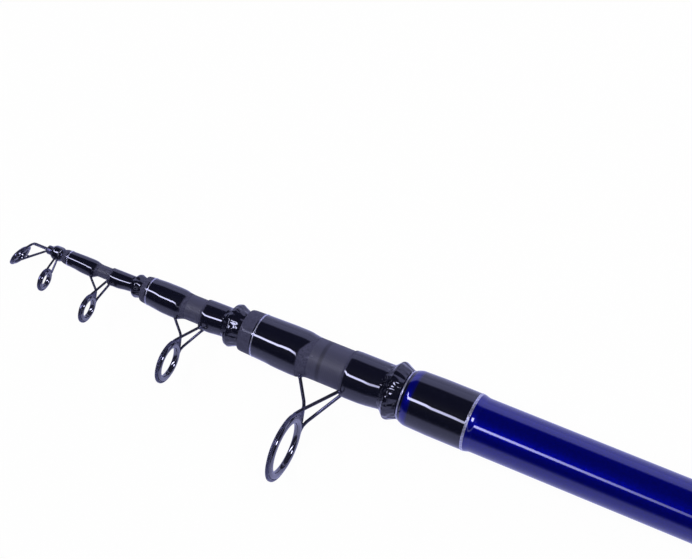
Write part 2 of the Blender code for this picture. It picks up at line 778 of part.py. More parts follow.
def make_tip(bore, parent):
    """The tip section with its tip-top. The origin is the lip of section 4."""
    axis = axis_empty("tip_section_axis", parent, bore.front)
    axis.rotation_euler = (0, 0, TIP_ROLL)
    shoulder_rear = 2 * SEAT_GAP + FLOAT_SLEEVE_LENGTH
    shoulder_front = shoulder_rear + TIP_SHOULDER_LENGTH
    front = shoulder_front - TIP_SHOULDER_LENGTH / 2
    rear = front - TIP_BLANK_LENGTH
    jam = bore.inner(bore.front - TIP_OVERLAP) - SLIDE_CLEARANCE
    taper = Taper(rear, front, jam, TIP_FRONT_DIAMETER / 2, 0, 0)
    outer = [(rear, 0), (rear, taper.outer(rear)), (front, taper.outer(front)), (front, 0)]
    turned("tip_blank", outer, [], TIP_SIDES, "carbon_blank", axis)

    tube_rear = shoulder_rear - TIP_TUBE_LENGTH
    tube_outer = [
        (tube_rear, TIP_TUBE_DIAMETER / 2),
        (shoulder_rear, TIP_TUBE_DIAMETER / 2),
        (shoulder_rear, TIP_SHOULDER_DIAMETER / 2),
        (shoulder_front, TIP_SHOULDER_DIAMETER / 2),
        (shoulder_front, 0),
    ]
    tube_bore = taper.outer(tube_rear) + GLUE_GAP
    tube_inner = [(tube_rear, tube_bore), (front + SEAT_GAP, tube_bore), (front + SEAT_GAP, 0)]
    tube = turned("tip_top_tube", tube_outer, tube_inner, TIP_SIDES, None, axis, True)

    guide = TIP_GUIDE
    centre = Vector((0, -guide.drop, shoulder_front + TIP_RING_REACH))
    place = Matrix.Translation(centre) @ Matrix.Rotation(-TIP_RING_LEAN, 4, "X")
    rim, keep_out = make_ring("tip_top", guide, place, axis)
    radius = guide.wire / 2
    rim_radius = (guide.diameter - guide.rim) / 2
    root = shoulder_front - TIP_SHOULDER_LENGTH / 3
    out, up = math.sin(TIP_LEG_ANGLE), math.cos(TIP_LEG_ANGLE)
    pieces = [tube]
    for side in (-1, 1):
        spread = side * TIP_LEG_SPREAD * guide.wire
        arch = [
            Vector((spread, 0, root)),
            Vector((spread, 0, shoulder_front + TIP_ARCH_REACH)),
            place @ Vector((spread, rim_radius, 0)),
        ]
        pieces.append(wire(f"tip_top_arch_{side}", bent(arch, guide.wire), radius, axis))
        knee = rim_radius + guide.rim
        leg = [
            Vector((spread, -radius, root)),
            Vector((spread, -radius, shoulder_front)),
            place @ Vector((side * knee * out, knee * up, -guide.depth / 2 - TIP_KNEE_BEHIND * guide.wire)),
            place @ Vector((side * rim_radius * out, rim_radius * up, -guide.depth / 4)),
        ]
        pieces.append(wire(f"tip_top_leg_{side}", bent(leg, guide.wire), radius, axis))
    fused("tip_top_frame", pieces, [keep_out], "guide_frame", [rim])
    return axis, taper


def make_floating_guide(tip_taper, tip_travel, parent, station):
    """The guide that slides on the tip section. Its bore passes the blank as far back as it travels."""
    axis = axis_empty("floating_guide_axis", parent, station)
    guide = FLOAT_GUIDE
    widest = max(tip_taper.outer(-tip_travel / 2), TIP_TUBE_DIAMETER / 2)
    bore = widest + SLIDE_CLEARANCE
    sleeve_radius = bore + FLOAT_SLEEVE_WALL
    rear, front = SEAT_GAP, SEAT_GAP + FLOAT_SLEEVE_LENGTH
    sleeve = plain_cylinder("floating_guide_sleeve", sleeve_radius, rear, front, SLEEVE_SIDES, axis)
    place = Matrix.Translation((0, -guide.drop, guide.ring_station))
    rim, keep_out = make_ring("floating_guide", guide, place, axis)
    pieces, slots = [sleeve], []
    radius = guide.wire / 2
    rim_radius = (guide.diameter - guide.rim) / 2
    out, up = rim_radius * math.sin(FLOAT_LEG_ANGLE), rim_radius * math.cos(FLOAT_LEG_ANGLE)
    for side in (-1, 1):
        across = side * FLOAT_LEG_SPREAD * guide.wire
        top = -math.sqrt((sleeve_radius - FLOAT_SLEEVE_WALL / 3) ** 2 - across**2)
        path = [
            Vector((across, top, guide.ring_station)),
            Vector((side * out, up - guide.drop, guide.ring_station)),
        ]
        pieces.append(wire(f"floating_guide_leg_{side}", path, radius, axis))
        slots.append(baked(wire(f"floating_guide_slot_{side}", path, radius + GLUE_GAP, axis)))
    bore_cut = plain_cylinder(
        "floating_guide_bore", bore, rear - CUT_MARGIN, front + CUT_MARGIN, SLEEVE_SIDES, axis
    )
    fused("floating_guide_frame", pieces, [keep_out], "guide_frame", [rim], [bore_cut])

    winding_radius = FLOAT_WINDING_DIAMETER / 2
    start = (rear + front - FLOAT_WINDING_LENGTH) / 2
    end = start + FLOAT_WINDING_LENGTH
    inside = sleeve_radius + GLUE_GAP
    crown = []
    for share, height in ((0, 0.35), (0.12, 0.8), (0.3, 1), (0.7, 1), (0.88, 0.8), (1, 0.35)):
        crown.append((between(start, end, share), between(inside, winding_radius, height)))
    winding = turned(
        "floating_guide_winding", crown, [(start, inside), (end, inside)], SLEEVE_SIDES, "black_wrap", axis
    )
    boolean(winding, "DIFFERENCE", slots)
    return axis


# Handle


def grip(name, taper, start, length, diameter, parent):
    end = start + length
    radius = diameter / 2
    outer = []
    for turn in (0, 45, 90):
        angle = math.radians(turn)
        outer.append(
            (start + GRIP_ROUND * (1 - math.cos(angle)), radius - GRIP_ROUND * (1 - math.sin(angle)))
        )
    outer += [(start + end - station, height) for station, height in reversed(outer)]
    inner = [(station, taper.outer(station) + GLUE_GAP) for station in (start, end)]
    return turned(name, outer, inner, BUTT_SIDES, "grip_foam", parent)


def trim_ring(name, taper, start, foot_radius, faces_front, parent):
    """A tapered metal ring against the end of a grip or seat, high at the end that meets it."""
    end = start + TRIM_RING_LENGTH
    low = taper.outer(start) + GLUE_GAP + TRIM_RING_HEIGHT / 2
    high = foot_radius - TRIM_RING_HEIGHT / 2
    heights = (high, high, low) if faces_front else (low, high, high)
    shares = (0, 0.35, 1) if faces_front else (0, 0.65, 1)
    outer = [(between(start, end, share), height) for share, height in zip(shares, heights)]
    inner = [(station, taper.outer(station) + GLUE_GAP) for station in (start, end)]
    return turned(name, outer, inner, BUTT_SIDES, "seat_metal", parent)


def hood_pieces(name, ring_start, direction, parent):
    """A ring round the seat, a dome over the reel foot's pocket, and the pocket's cutter."""
    mouth = ring_start + direction * HOOD_LENGTH
    ring_end = ring_start + direction * HOOD_RING_LENGTH
    low, high = min(ring_start, ring_end), max(ring_start, ring_end)
    radius = HOOD_DIAMETER / 2
    edge = HOOD_WALL / 2
    outer = [
        (low, 0),
        (low, radius - edge),
        (low + edge, radius),
        (high - edge, radius),
        (high, radius - edge),
        (high, 0),
    ]
    ring = turned(f"{name}_ring", outer, [], BUTT_SIDES, None, parent, True)
    roof = REEL_SEAT_DIAMETER / 2 + POCKET_HEIGHT + HOOD_WALL
    half_width = POCKET_WIDTH / 2 + HOOD_WALL * HOOD_SHOULDER
    stations = []
    for share in (0, 0.06, 0.2, 0.45, 0.75, 1):
        rise = math.sin(math.pi / 2 * min(1, 0.35 + share * 1.3))
        stations.append((between(ring_start, mouth, share), between(radius - edge, roof, rise)))
    dome = arched_loft(f"{name}_dome", stations, half_width, parent)
    return [ring, dome], pocket_cutter(f"{name}_pocket", mouth, direction, parent)


def arched_loft(name, stations, half_width, parent):
    """A closed body whose cross-section is half of a squarish ellipse, as tall as each station says."""
    power = 2 / HOOD_SQUARENESS
    mesh = bpy.data.meshes.new(name)
    work = bmesh.new()
    loops = []
    for station, height in stations:
        loop = []
        for step in range(HOOD_ARCH_STEPS + 1):
            angle = math.pi * (step / HOOD_ARCH_STEPS - 0.5)
            across = math.copysign(abs(math.sin(angle)) ** power, angle) * half_width
            up = max(0, math.cos(angle)) ** power * height if 0 < step < HOOD_ARCH_STEPS else 0
            loop.append(work.verts.new((across, -up, station)))
        loops.append(loop)
    for back, on in zip(loops, loops[1:]):
        for i in range(len(back)):
            j = (i + 1) % len(back)
            work.faces.new((back[i], back[j], on[j], on[i]))
    work.faces.new(loops[0])
    work.faces.new(list(reversed(loops[-1])))
    bmesh.ops.recalc_face_normals(work, faces=work.faces)
    work.to_mesh(mesh)
    work.free()
    return adopt(bpy.data.objects.new(name, mesh), None, parent, True)


def pocket_cutter(name, mouth, direction, parent):
    """The room for the reel foot: its roof is a low arch, and it opens at the mouth."""
    floor = REEL_SEAT_DIAMETER / 2 - CUT_MARGIN
    roof = REEL_SEAT_DIAMETER / 2 + POCKET_HEIGHT
    half = POCKET_WIDTH / 2
    start, end = mouth - direction * POCKET_DEPTH, mouth + direction * CUT_MARGIN
    low, high = min(start, end), max(start, end)
    mesh = bpy.data.meshes.new(name)
    work = bmesh.new()
    bmesh.ops.create_cube(work, size=1)
    for vertex in work.verts:
        vertex.co = (
            vertex.co.x * 2 * half,
            -floor if vertex.co.y > 0 else -roof,
            low if vertex.co.z < 0 else high,
        )
    bmesh.ops.recalc_face_normals(work, faces=work.faces)
    work.to_mesh(mesh)
    work.free()
    obj = adopt(bpy.data.objects.new(name, mesh), None, parent, True)
    bevel = obj.modifiers.new("Round", "BEVEL")
    bevel.width = HOOD_WALL
    bevel.segments = 2
    return obj


def flute_cutter(reach, parent):
    """Rods set round the lock nut, one for each flute."""
    mesh = bpy.data.meshes.new("lock_nut_flutes")
    work = bmesh.new()
    depth = LOCK_NUT_LENGTH + 2 * CUT_MARGIN
    for flute in range(LOCK_NUT_FLUTES):
        turn = Matrix.Rotation(2 * math.pi * flute / LOCK_NUT_FLUTES, 4, "Z")
        bmesh.ops.create_cone(
            work,
            cap_ends=True,
            segments=6,
            radius1=FLUTE_DIAMETER / 2,
            radius2=FLUTE_DIAMETER / 2,
            depth=depth,
            matrix=turn @ Matrix.Translation((reach, 0, LOCK_NUT_LENGTH / 2)),
        )
    work.to_mesh(mesh)
    work.free()
    return adopt(bpy.data.objects.new("lock_nut_flutes", mesh), None, parent, True)


def make_reel_seat(taper, butt_axis):
    start, length = REEL_SEAT_STATION, REEL_SEAT_LENGTH
    end = start + length
    radius = REEL_SEAT_DIAMETER / 2
    bore = radius - REEL_SEAT_WALL
    barrel = turned(
        "reel_seat_barrel",
        [(start, 0), (start, radius), (end, radius), (end, 0)],
        [],
        BUTT_SIDES,
        None,
        butt_axis,
        True,
    )
    hood, pocket = hood_pieces("fixed_hood", end, -1, butt_axis)
    seat_bore = plain_cylinder(
        "reel_seat_bore", bore, start - CUT_MARGIN, end + CUT_MARGIN, BUTT_SIDES, butt_axis
    )
    fused("reel_seat", hood, [pocket], "seat_nylon", [barrel], [seat_bore])
    for name, bushing_start in (
        ("reel_seat_rear_bushing", start + SEAT_GAP),
        ("reel_seat_front_bushing", end - SEAT_GAP - BUSHING_LENGTH),
    ):
        ends = (bushing_start, bushing_start + BUSHING_LENGTH)
        turned(
            name,
            [(station, bore - GLUE_GAP) for station in ends],
            [(station, taper.outer(station) + GLUE_GAP) for station in ends],
            BUTT_SIDES,
            "grip_foam",
            butt_axis,
        )

    foot_front = end - HOOD_LENGTH
    mouth = foot_front - FOOT_GAP_OPEN
    hood_start = mouth - HOOD_LENGTH
    hood_axis = axis_empty("sliding_hood_axis", butt_axis, hood_start)
    hood, pocket = hood_pieces("sliding_hood", 0, 1, hood_axis)
    running_bore = radius + RUN_CLEARANCE
    hood_bore = plain_cylinder(
        "sliding_hood_bore", running_bore, -CUT_MARGIN, HOOD_LENGTH + CUT_MARGIN, BUTT_SIDES, hood_axis
    )
    fused("sliding_hood", hood, [pocket, hood_bore], "seat_metal")

    nut_axis = axis_empty("lock_nut_axis", hood_axis, -SEAT_GAP - LOCK_NUT_LENGTH)
    nut_radius = LOCK_NUT_DIAMETER / 2
    edge = HOOD_WALL / 2
    nut = turned(
        "lock_nut",
        [
            (0, nut_radius - edge),
            (edge, nut_radius),
            (LOCK_NUT_LENGTH - edge, nut_radius),
            (LOCK_NUT_LENGTH, nut_radius - edge),
        ],
        [(0, running_bore), (LOCK_NUT_LENGTH, running_bore)],
        BUTT_SIDES,
        "seat_metal",
        nut_axis,
    )
    boolean(nut, "DIFFERENCE", [flute_cutter(nut_radius + FLUTE_DIAMETER / 4, nut_axis)])
    return start, end


def make_butt_end(taper, butt_axis):
    """The threaded bush in the blank and the screw-off cap with its rubber bumper and cushion."""
    flange_rear = BUMPER_LENGTH + SEAT_GAP
    flange_front = flange_rear + BUSH_FLANGE_THICKNESS
    bush_radius = taper.inner(taper.rear) - GLUE_GAP
    bush_bore = bush_radius - BUSH_WALL
    bush_front = flange_front + BUSH_LENGTH
    turned(
        "butt_bush",
        [
            (flange_rear, BUSH_FLANGE_DIAMETER / 2),
            (flange_front, BUSH_FLANGE_DIAMETER / 2),
            (flange_front, bush_radius),
            (bush_front, taper.inner(bush_front) - GLUE_GAP),
        ],
        [(flange_rear, bush_bore), (bush_front, bush_bore)],
        BUTT_SIDES,
        "seat_metal",
        butt_axis,
    )
    slide_axis = axis_empty("butt_cushion_axis", butt_axis, 0)
    cap_axis = axis_empty("butt_cap_axis", slide_axis, 0)
    cap_radius = BUMPER_DIAMETER / 2 - BUMPER_WALL - GLUE_GAP
    spigot_radius = bush_bore - RUN_CLEARANCE
    spigot_front = BUMPER_LENGTH + CAP_SPIGOT_LENGTH
    cup_floor = BUMPER_FLOOR + GLUE_GAP + CAP_WALL
    cup_bore = spigot_radius - CAP_WALL
    turned(
        "butt_cap",
        [
            (BUMPER_FLOOR + GLUE_GAP, 0),
            (BUMPER_FLOOR + GLUE_GAP, cap_radius),
            (BUMPER_LENGTH, cap_radius),
            (BUMPER_LENGTH, spigot_radius),
            (spigot_front, spigot_radius),
        ],
        [(cup_floor, 0), (cup_floor, cup_bore), (spigot_front, cup_bore)],
        BUTT_SIDES,
        "seat_nylon",
        cap_axis,
    )
    radius = BUMPER_DIAMETER / 2
    corner = []
    for turn in (0, 45, 90):
        angle = math.radians(turn)
        corner.append((BUMPER_ROUND * (1 - math.sin(angle)), radius - BUMPER_ROUND * (1 - math.cos(angle))))
    corner.reverse()
    turned(
        "butt_bumper",
        [(0, 0)] + corner + [(BUMPER_LENGTH, radius)],
        [(BUMPER_FLOOR, 0), (BUMPER_FLOOR, radius - BUMPER_WALL), (BUMPER_LENGTH, radius - BUMPER_WALL)],
        BUTT_SIDES,
        "cap_rubber",
        cap_axis,
    )
    cushion_rear = cup_floor + SEAT_GAP
    cushion_front = cushion_rear + CUSHION_THICKNESS
    cushion_radius = cup_bore - SEAT_GAP
    turned(
        "butt_cushion",
        [
            (cushion_rear, 0),
            (cushion_rear, cushion_radius),
            (cushion_front, cushion_radius),
            (cushion_front, 0),
        ],
        [],
        BUTT_SIDES // 2,
        "cushion_foam",
        slide_axis,
    )
    return flange_front


def make_butt_section(rod_axis):
    blank_rear = BUMPER_LENGTH + 2 * SEAT_GAP + BUSH_FLANGE_THICKNESS
    taper = Taper(
        blank_rear,
        BUTT_LENGTH,
        BUTT_REAR_DIAMETER / 2,
        BUTT_FRONT_DIAMETER / 2,
        BUTT_REAR_WALL,
        BUTT_FRONT_WALL,
    )
    make_butt_blank(taper, rod_axis)
    lip = taper.front
    wrap_start = lip - BUTT_WRAP_LENGTH
    wrap_end = lip - LIP_STEP_DEPTH - GLUE_GAP
    crown = ((0, 0.4), (0.05, 0.5), (0.22, 0.58), (0.62, 0.58), (0.95, 0.25), (1, 0.1))
    groove = ("butt_wrap_trim", lip - BUTT_TRIM_STATION, BUTT_TRIM_WIDTH + 2 * GLUE_GAP)
    make_butt_wrap(taper, wrap_start, wrap_end, crown, groove, rod_axis)
    floor = taper.inner(lip) + LIP_STEP_WALL
    middle = lip - LIP_STEP_DEPTH / 2
    make_trim("butt_lip_trim", middle, LIP_TRIM_WIDTH, floor, LIP_TRIM_DIAMETER / 2, BUTT_SIDES, rod_axis)

    flange_front = make_butt_end(taper, rod_axis)
    grip_start = flange_front + SEAT_GAP
    grip("rear_grip", taper, grip_start, REAR_GRIP_LENGTH, REAR_GRIP_DIAMETER, rod_axis)
    ring_start = grip_start + REAR_GRIP_LENGTH + SEAT_GAP
    trim_ring("rear_grip_ring", taper, ring_start, REAR_GRIP_DIAMETER / 2, True, rod_axis)
    seat_start, seat_end = make_reel_seat(taper, rod_axis)
    rear_ring = seat_start - SEAT_GAP - TRIM_RING_LENGTH
    trim_ring("reel_seat_ring", taper, rear_ring, REEL_SEAT_DIAMETER / 2, False, rod_axis)
    fore_start = seat_end + SEAT_GAP
    grip("fore_grip", taper, fore_start, FORE_GRIP_LENGTH, FORE_GRIP_DIAMETER, rod_axis)
    fore_ring = fore_start + FORE_GRIP_LENGTH + SEAT_GAP
    trim_ring("fore_grip_ring", taper, fore_ring, FORE_GRIP_DIAMETER / 2, True, rod_axis)
    return taper


def make_butt_wrap(taper, start, end, crown, groove, parent):
    """The wrap behind the butt's lip. It follows the lip's crown down to the silver ring."""
    outer = wrap_profile(taper, start, end, crown)
    crown_station = taper.front - LIP_CROWN_LENGTH
    outer[-1] = (end, taper.outer(end) - LIP_CROWN_DROP + 2 * GLUE_GAP + crown[-1][1] * MM)
    trim_name, station, width = groove
    floor = taper.outer(station) + 2 * GLUE_GAP
    outer, top = with_groove(outer, station, width, floor)
    make_trim(trim_name, station, width, floor, top, BUTT_SIDES, parent)
    inner = [
        (start, taper.outer(start) + GLUE_GAP),
        (crown_station, taper.outer(crown_station) + GLUE_GAP),
        (end, taper.outer(end) - LIP_CROWN_DROP + GLUE_GAP),
    ]
    return turned("butt_front_wrap", outer, inner, BUTT_SIDES, "black_wrap", parent)


def main():
    rod_axis = axis_empty("rod_axis", None, 0)
    rod_axis.rotation_euler = (0, math.radians(-90), 0)
    bore = make_butt_section(rod_axis)
    axis = rod_axis
    travels = []
    for section in SECTIONS:
        axis, taper = make_section(section, bore, axis)
        travels.append(BLANK_LENGTH - section.nose - section.overlap)
        bore = taper
    tip_axis, tip_taper = make_tip(bore, axis)
    tip_travel = -tip_taper.rear - TIP_OVERLAP
    travels.append(tip_travel)
    make_floating_guide(tip_taper, tip_travel, axis, bore.front)
    print("slide travels in mm:", [round(travel / MM, 2) for travel in travels])


main()
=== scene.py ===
"""Looks of a telescopic surf rod, closed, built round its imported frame. Blender 4.5, metres.

The rod lies along world X with its tip to -X and its line guides to -Y, on a pale floor under soft studio
light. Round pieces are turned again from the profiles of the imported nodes, with more sides and eased edges.
"""

import json
import math
from collections import namedtuple

import bmesh
import bpy
from bpy.props import FloatProperty, FloatVectorProperty, IntProperty, PointerProperty
from mathutils import Matrix, Vector

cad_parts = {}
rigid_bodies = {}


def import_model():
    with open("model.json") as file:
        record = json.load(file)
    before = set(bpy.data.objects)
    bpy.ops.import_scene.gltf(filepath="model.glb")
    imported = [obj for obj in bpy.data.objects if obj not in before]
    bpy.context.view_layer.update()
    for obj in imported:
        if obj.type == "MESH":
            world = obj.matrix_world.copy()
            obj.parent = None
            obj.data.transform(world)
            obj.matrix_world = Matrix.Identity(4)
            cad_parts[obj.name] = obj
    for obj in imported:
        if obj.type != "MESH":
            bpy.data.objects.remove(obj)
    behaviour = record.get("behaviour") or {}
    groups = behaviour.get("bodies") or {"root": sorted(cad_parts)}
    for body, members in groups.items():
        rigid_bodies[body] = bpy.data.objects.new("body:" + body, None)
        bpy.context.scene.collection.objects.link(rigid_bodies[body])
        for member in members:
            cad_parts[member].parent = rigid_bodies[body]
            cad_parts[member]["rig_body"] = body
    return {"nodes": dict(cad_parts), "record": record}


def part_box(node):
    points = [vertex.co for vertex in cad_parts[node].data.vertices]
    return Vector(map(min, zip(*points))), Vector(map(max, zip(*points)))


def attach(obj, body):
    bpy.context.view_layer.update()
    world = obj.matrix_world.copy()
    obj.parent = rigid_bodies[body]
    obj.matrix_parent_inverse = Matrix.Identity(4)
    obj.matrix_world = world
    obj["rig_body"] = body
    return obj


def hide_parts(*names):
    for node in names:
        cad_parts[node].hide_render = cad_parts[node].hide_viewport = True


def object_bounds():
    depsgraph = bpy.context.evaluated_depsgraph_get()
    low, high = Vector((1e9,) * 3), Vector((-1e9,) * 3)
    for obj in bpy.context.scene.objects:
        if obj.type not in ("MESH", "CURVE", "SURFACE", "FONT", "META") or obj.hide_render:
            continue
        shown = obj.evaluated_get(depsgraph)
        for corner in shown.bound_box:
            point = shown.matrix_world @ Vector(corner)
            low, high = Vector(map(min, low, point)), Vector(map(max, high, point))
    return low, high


bl_info = {
    "name": "Surf Rod Looks",
    "version": (1, 0, 0),
    "blender": (4, 5, 0),
    "location": "View3D > Sidebar > Surf Rod",
    "description": "Fine surfaces, materials and studio for a closed telescopic surf rod",
    "category": "Object",
}

MM = 0.001
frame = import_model()
CAD_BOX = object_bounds()

# Places read from the frame. A darker ring runs round section 2 a little behind its front wrap.
SECTIONS = ("section_2", "section_3", "section_4")
LIP_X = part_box("butt_lip_trim")[0].x
DARK_RING_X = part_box("section_2_front_wrap")[1].x + 9.2 * MM
DARK_RING_REACH = (0.4 * MM, 1.5 * MM)

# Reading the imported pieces
WELD = 0.002 * MM
PLANE_TOLERANCE = 0.004 * MM
AXIS_TOLERANCE = 0.01 * MM
TOP_HALF_WIDTH = 1.0 * MM

# How profiles are eased: a corner's rounding takes at most a share of each side, and a point just past it, on
# the shore, keeps the side straight
HARD_CORNER = math.radians(50)
STRAIGHT = math.radians(1)
SOFT_REACH = 3.0 * MM
SIDE_SHARE = 0.45
CREASE_REACH = 0.35 * MM
SHORE = 0.3 * MM
EASE_STEPS = 4
CUSHION_EDGE = 1.2 * MM

# Moulded pieces: edges flatter than the first angle are dissolved, those sharper than the second are rounded,
# and what is then still sharper than the third stays a crease
MOULD_FLAT = math.radians(2)
MOULD_CORNER = math.radians(35)
MOULD_CREASE = math.radians(30)
MOULD_EDGE = 0.3 * MM

# Pieces glued on a tube reach a little into it, so that no gap shows
GLUE_SINK = 0.14 * MM

# The tip section is turned in its tube, and its ring leans forward
TIP_ROLL = math.radians(36)
TIP_RING_LEAN = math.radians(-28)

# Turns of the blanks' wrapping tape, of thread and of tool marks, as wide as they need to be to show
TAPE_PITCH = 0.9 * MM
LACQUERED_TAPE_PITCH = 1.6 * MM
THREAD_PITCH = 0.8 * MM
TOOL_MARK_PITCH = 0.5 * MM

# Stations along a wrap, with some at each end a quarter as far apart
STATION_SPACING = 0.35 * MM
END_STATIONS = 6

# Epoxy over thread: how far it evens out steps, how it rounds off at an edge and at a lip, how high it is at
# the butt's lip, and its least height
FLOW = 1.3 * MM
FLOW_SAMPLES = 4
MENISCUS = 0.7 * MM
LIP_REACH = 2.4 * MM
LIP_HEIGHT_SHARE = 0.5
THIN_HEIGHT = 0.04 * MM

# Thread of a front wrap goes on this far past the guide's leg. Its coat thins from a share of that before it.
THIN_ENDS = {"section_2": 3.6 * MM, "section_3": 2.8 * MM, "section_4": 1.8 * MM}
THIN_START = 0.8

# The line where a front wrap's coat is full: how far past the leg it runs, and how far it slants towards the
# butt per metre of Y, from a line a little on the guides' side of the top
FULL_COATS = {"section_2": (-2.5 * MM, 0.5), "section_3": (-0.4 * MM, 0.1), "section_4": (-0.4 * MM, 0.1)}
SLANT_FROM = -2.0 * MM

# Where the coat is thin and where it is full, from that line, from a silver ring and from a rear wrap's edge
COAT_PAST_LINE = (1.2 * MM, 0.0)
COAT_BEFORE_RING = (-0.9 * MM, -0.3 * MM)
COAT_AT_EDGE = (0.8 * MM, 2.0 * MM)

# The blue band near the lip of the butt's wrap comes up and goes down again at these distances from the lip
LIP_BAND_START = (1.9 * MM, 2.7 * MM)
LIP_BAND_END = (4.2 * MM, 6.6 * MM)

# Epoxy at a collar's foot: it runs on over the wrap, dips at its edge, swells and then fills the foot, by
# (share of the slope's run, share of its climb)
WAIST_LENGTH = 1.2 * MM
WAIST_DIP = 0.03 * MM
WAIST_SWELL = 0.02 * MM
WAIST_SWELL_PLACE = 0.3
FOOT_FILL = ((0.2, 0.12), (0.45, 0.38))

# Ridges of the collars: moved towards the tip, and worn down on the butt's side from just before the peak
RIDGE_SHIFTS = {"section_2": 0.0, "section_3": 1.6 * MM, "section_4": 0.7 * MM}
WORN = {"section_2": 0.0, "section_3": 0.0, "section_4": 0.3 * MM}
WORN_FROM = -0.5 * MM
WORN_FULL = 2 * MM

# Thread over the guides' feet, which starts and ends with them, and a fillet of epoxy round each leg
FOOT_SHARPNESS = 3
FOOT_RISE = 0.3 * MM
FOOT_RUN_IN = 1.5 * MM
FOOT_RUN_OUT = (-3 * MM, 2 * MM)
FOOT_HALF_WIDTHS = {"section_2": 3.6 * MM, "section_3": 3.0 * MM, "section_4": 2.4 * MM}
LEG_FILLET = 0.5 * MM
LEG_FILLET_DEPTH = 0.6 * MM
LEG_FILLET_SPREAD = 0.9 * MM

# Silver thread fills a share of its packed ring's width, stands a little above it, and its turns overlap
RING_SHARE = 0.86
STRAND_LIFT = 0.12 * MM
STRAND_OVERLAP = 1.08
STRAND_SIDES = 10

# Brazed guide frames: their wires, how much these are smoothed, and the share of a wire that they get back.
# Within the rim's reach the welded shape sinks into the rim that is turned again. The reach, the runs and the
# margin are in widths of the rim.
GUIDE_WIRES = {
    "section_2_guide": 1.5 * MM,
    "section_3_guide": 1.25 * MM,
    "section_4_guide": 1.1 * MM,
    "floating_guide": 1.0 * MM,
    "tip_top": 1.0 * MM,
}
FLOW_STEPS = 22
WIRE_REGAIN = 0.1
RIM_SINK = 0.85
RIM_REACH = 1.5
REGAIN_RUN = 0.5
SINK_RUN = 1 / 3
BORE_MARGIN = 0.1

# Guide rings, ground to a full section
BEAD_STEPS = 28
BEAD_FULLNESS = 1.3
BEAD_SQUARENESS = 0.8

# Reel seat thread
SEAT_BARREL_RADIUS = 15.5 * MM
SEAT_THREAD_PITCH = 2.0 * MM
SEAT_THREAD_START = 1.4 * MM
SEAT_THREAD_TURNS = 23
SEAT_THREAD_RADIUS = 0.55 * MM
SEAT_THREAD_HEIGHT = 0.2 * MM

# Camera, placed from the lip of the butt section
FOCAL_PIXELS = 1692
IMAGE_WIDTH = 692
SENSOR_WIDTH = 36.0
EYE_DISTANCE = 0.759
EYE_BEHIND = 0.1841
EYE_SIDE = math.radians(14)
SWING = math.radians(17)
TILT = math.radians(2.85)
ROLL = math.radians(22.15)

# Square to the rod: up to the eye, and aside, away from the guides
TO_EYE = Vector((0, -math.sin(EYE_SIDE), math.cos(EYE_SIDE)))
ASIDE = Vector((0, math.cos(EYE_SIDE), math.sin(EYE_SIDE)))


def linear(channel):
    """One sRGB channel from 0 to 1 as linear light."""
    return channel / 12.92 if channel <= 0.04045 else ((channel + 0.055) / 1.055) ** 2.4


def colour(hexa):
    """An sRGB hex value as linear red, green and blue."""
    return tuple(linear(int(hexa[i : i + 2], 16) / 255) for i in (0, 2, 4))


class RodSizes(bpy.types.PropertyGroup):
    """How finely the rod is made"""

    sides: IntProperty(
        name="Sides",
        description="Sides of the butt tube and of what is on it",
        default=128,
        min=48,
        max=256,
    )
    small_sides: IntProperty(
        name="Small sides",
        description="Sides of sections 2 to 4, the tip and the rings",
        default=96,
        min=32,
    )
    edge: FloatProperty(
        name="Edge radius", description="How far hard edges are eased", default=0.25 * MM, unit="LENGTH"
    )
    voxels_per_wire: FloatProperty(
        name="Voxels per wire", description="Fineness of the welded guide frames", default=9.0, min=5.0
    )
    thread: FloatProperty(
        name="Thread width",
        description="Width of one turn of silver thread",
        default=0.36 * MM,
        unit="LENGTH",
    )


class RodColours(bpy.types.PropertyGroup):
    """The colour of each finish"""

    lacquer: FloatVectorProperty(
        name="Lacquer", description="Blue of the butt tube", default=colour("02067C"), subtype="COLOR"
    )
    graphite: FloatVectorProperty(
        name="Graphite",
        description="Bare blank of sections 2 to 4",
        default=colour("404058"),
        subtype="COLOR",
    )
    thread: FloatVectorProperty(
        name="Thread", description="Black thread under epoxy", default=colour("0C0D1D"), subtype="COLOR"
    )
    thread_end: FloatVectorProperty(
        name="Thread ends",
        description="Where the epoxy thins over the thread",
        default=colour("4C4C66"),
        subtype="COLOR",
    )
    silver: FloatVectorProperty(
        name="Silver thread", description="Metallic thread rings", default=colour("D4D4E8"), subtype="COLOR"
    )
    gunmetal: FloatVectorProperty(
        name="Gunmetal", description="Plating of the guide frames", default=colour("48485C"), subtype="COLOR"
    )
    ceramic: FloatVectorProperty(
        name="Ceramic", description="Polished guide rings", default=colour("1E1E2E"), subtype="COLOR"
    )
    foam: FloatVectorProperty(
        name="Grip foam",
        description="Closed-cell foam of the grips",
        default=colour("1C1C1F"),
        subtype="COLOR",
    )
    nylon: FloatVectorProperty(
        name="Seat nylon", description="Moulded reel seat and cap", default=colour("17171C"), subtype="COLOR"
    )
    anodised: FloatVectorProperty(
        name="Anodised",
        description="Turned aluminium rings and hood",
        default=colour("5A5A66"),
        subtype="COLOR",
    )
    rubber: FloatVectorProperty(
        name="Rubber", description="Butt bumper", default=colour("161618"), subtype="COLOR"
    )
    cushion: FloatVectorProperty(
        name="Cushion", description="Foam inside the butt cap", default=colour("5A5A60"), subtype="COLOR"
    )


# Materials

# Map Range nodes ease in and out
SMOOTH = {"interpolation_type": "SMOOTHSTEP"}


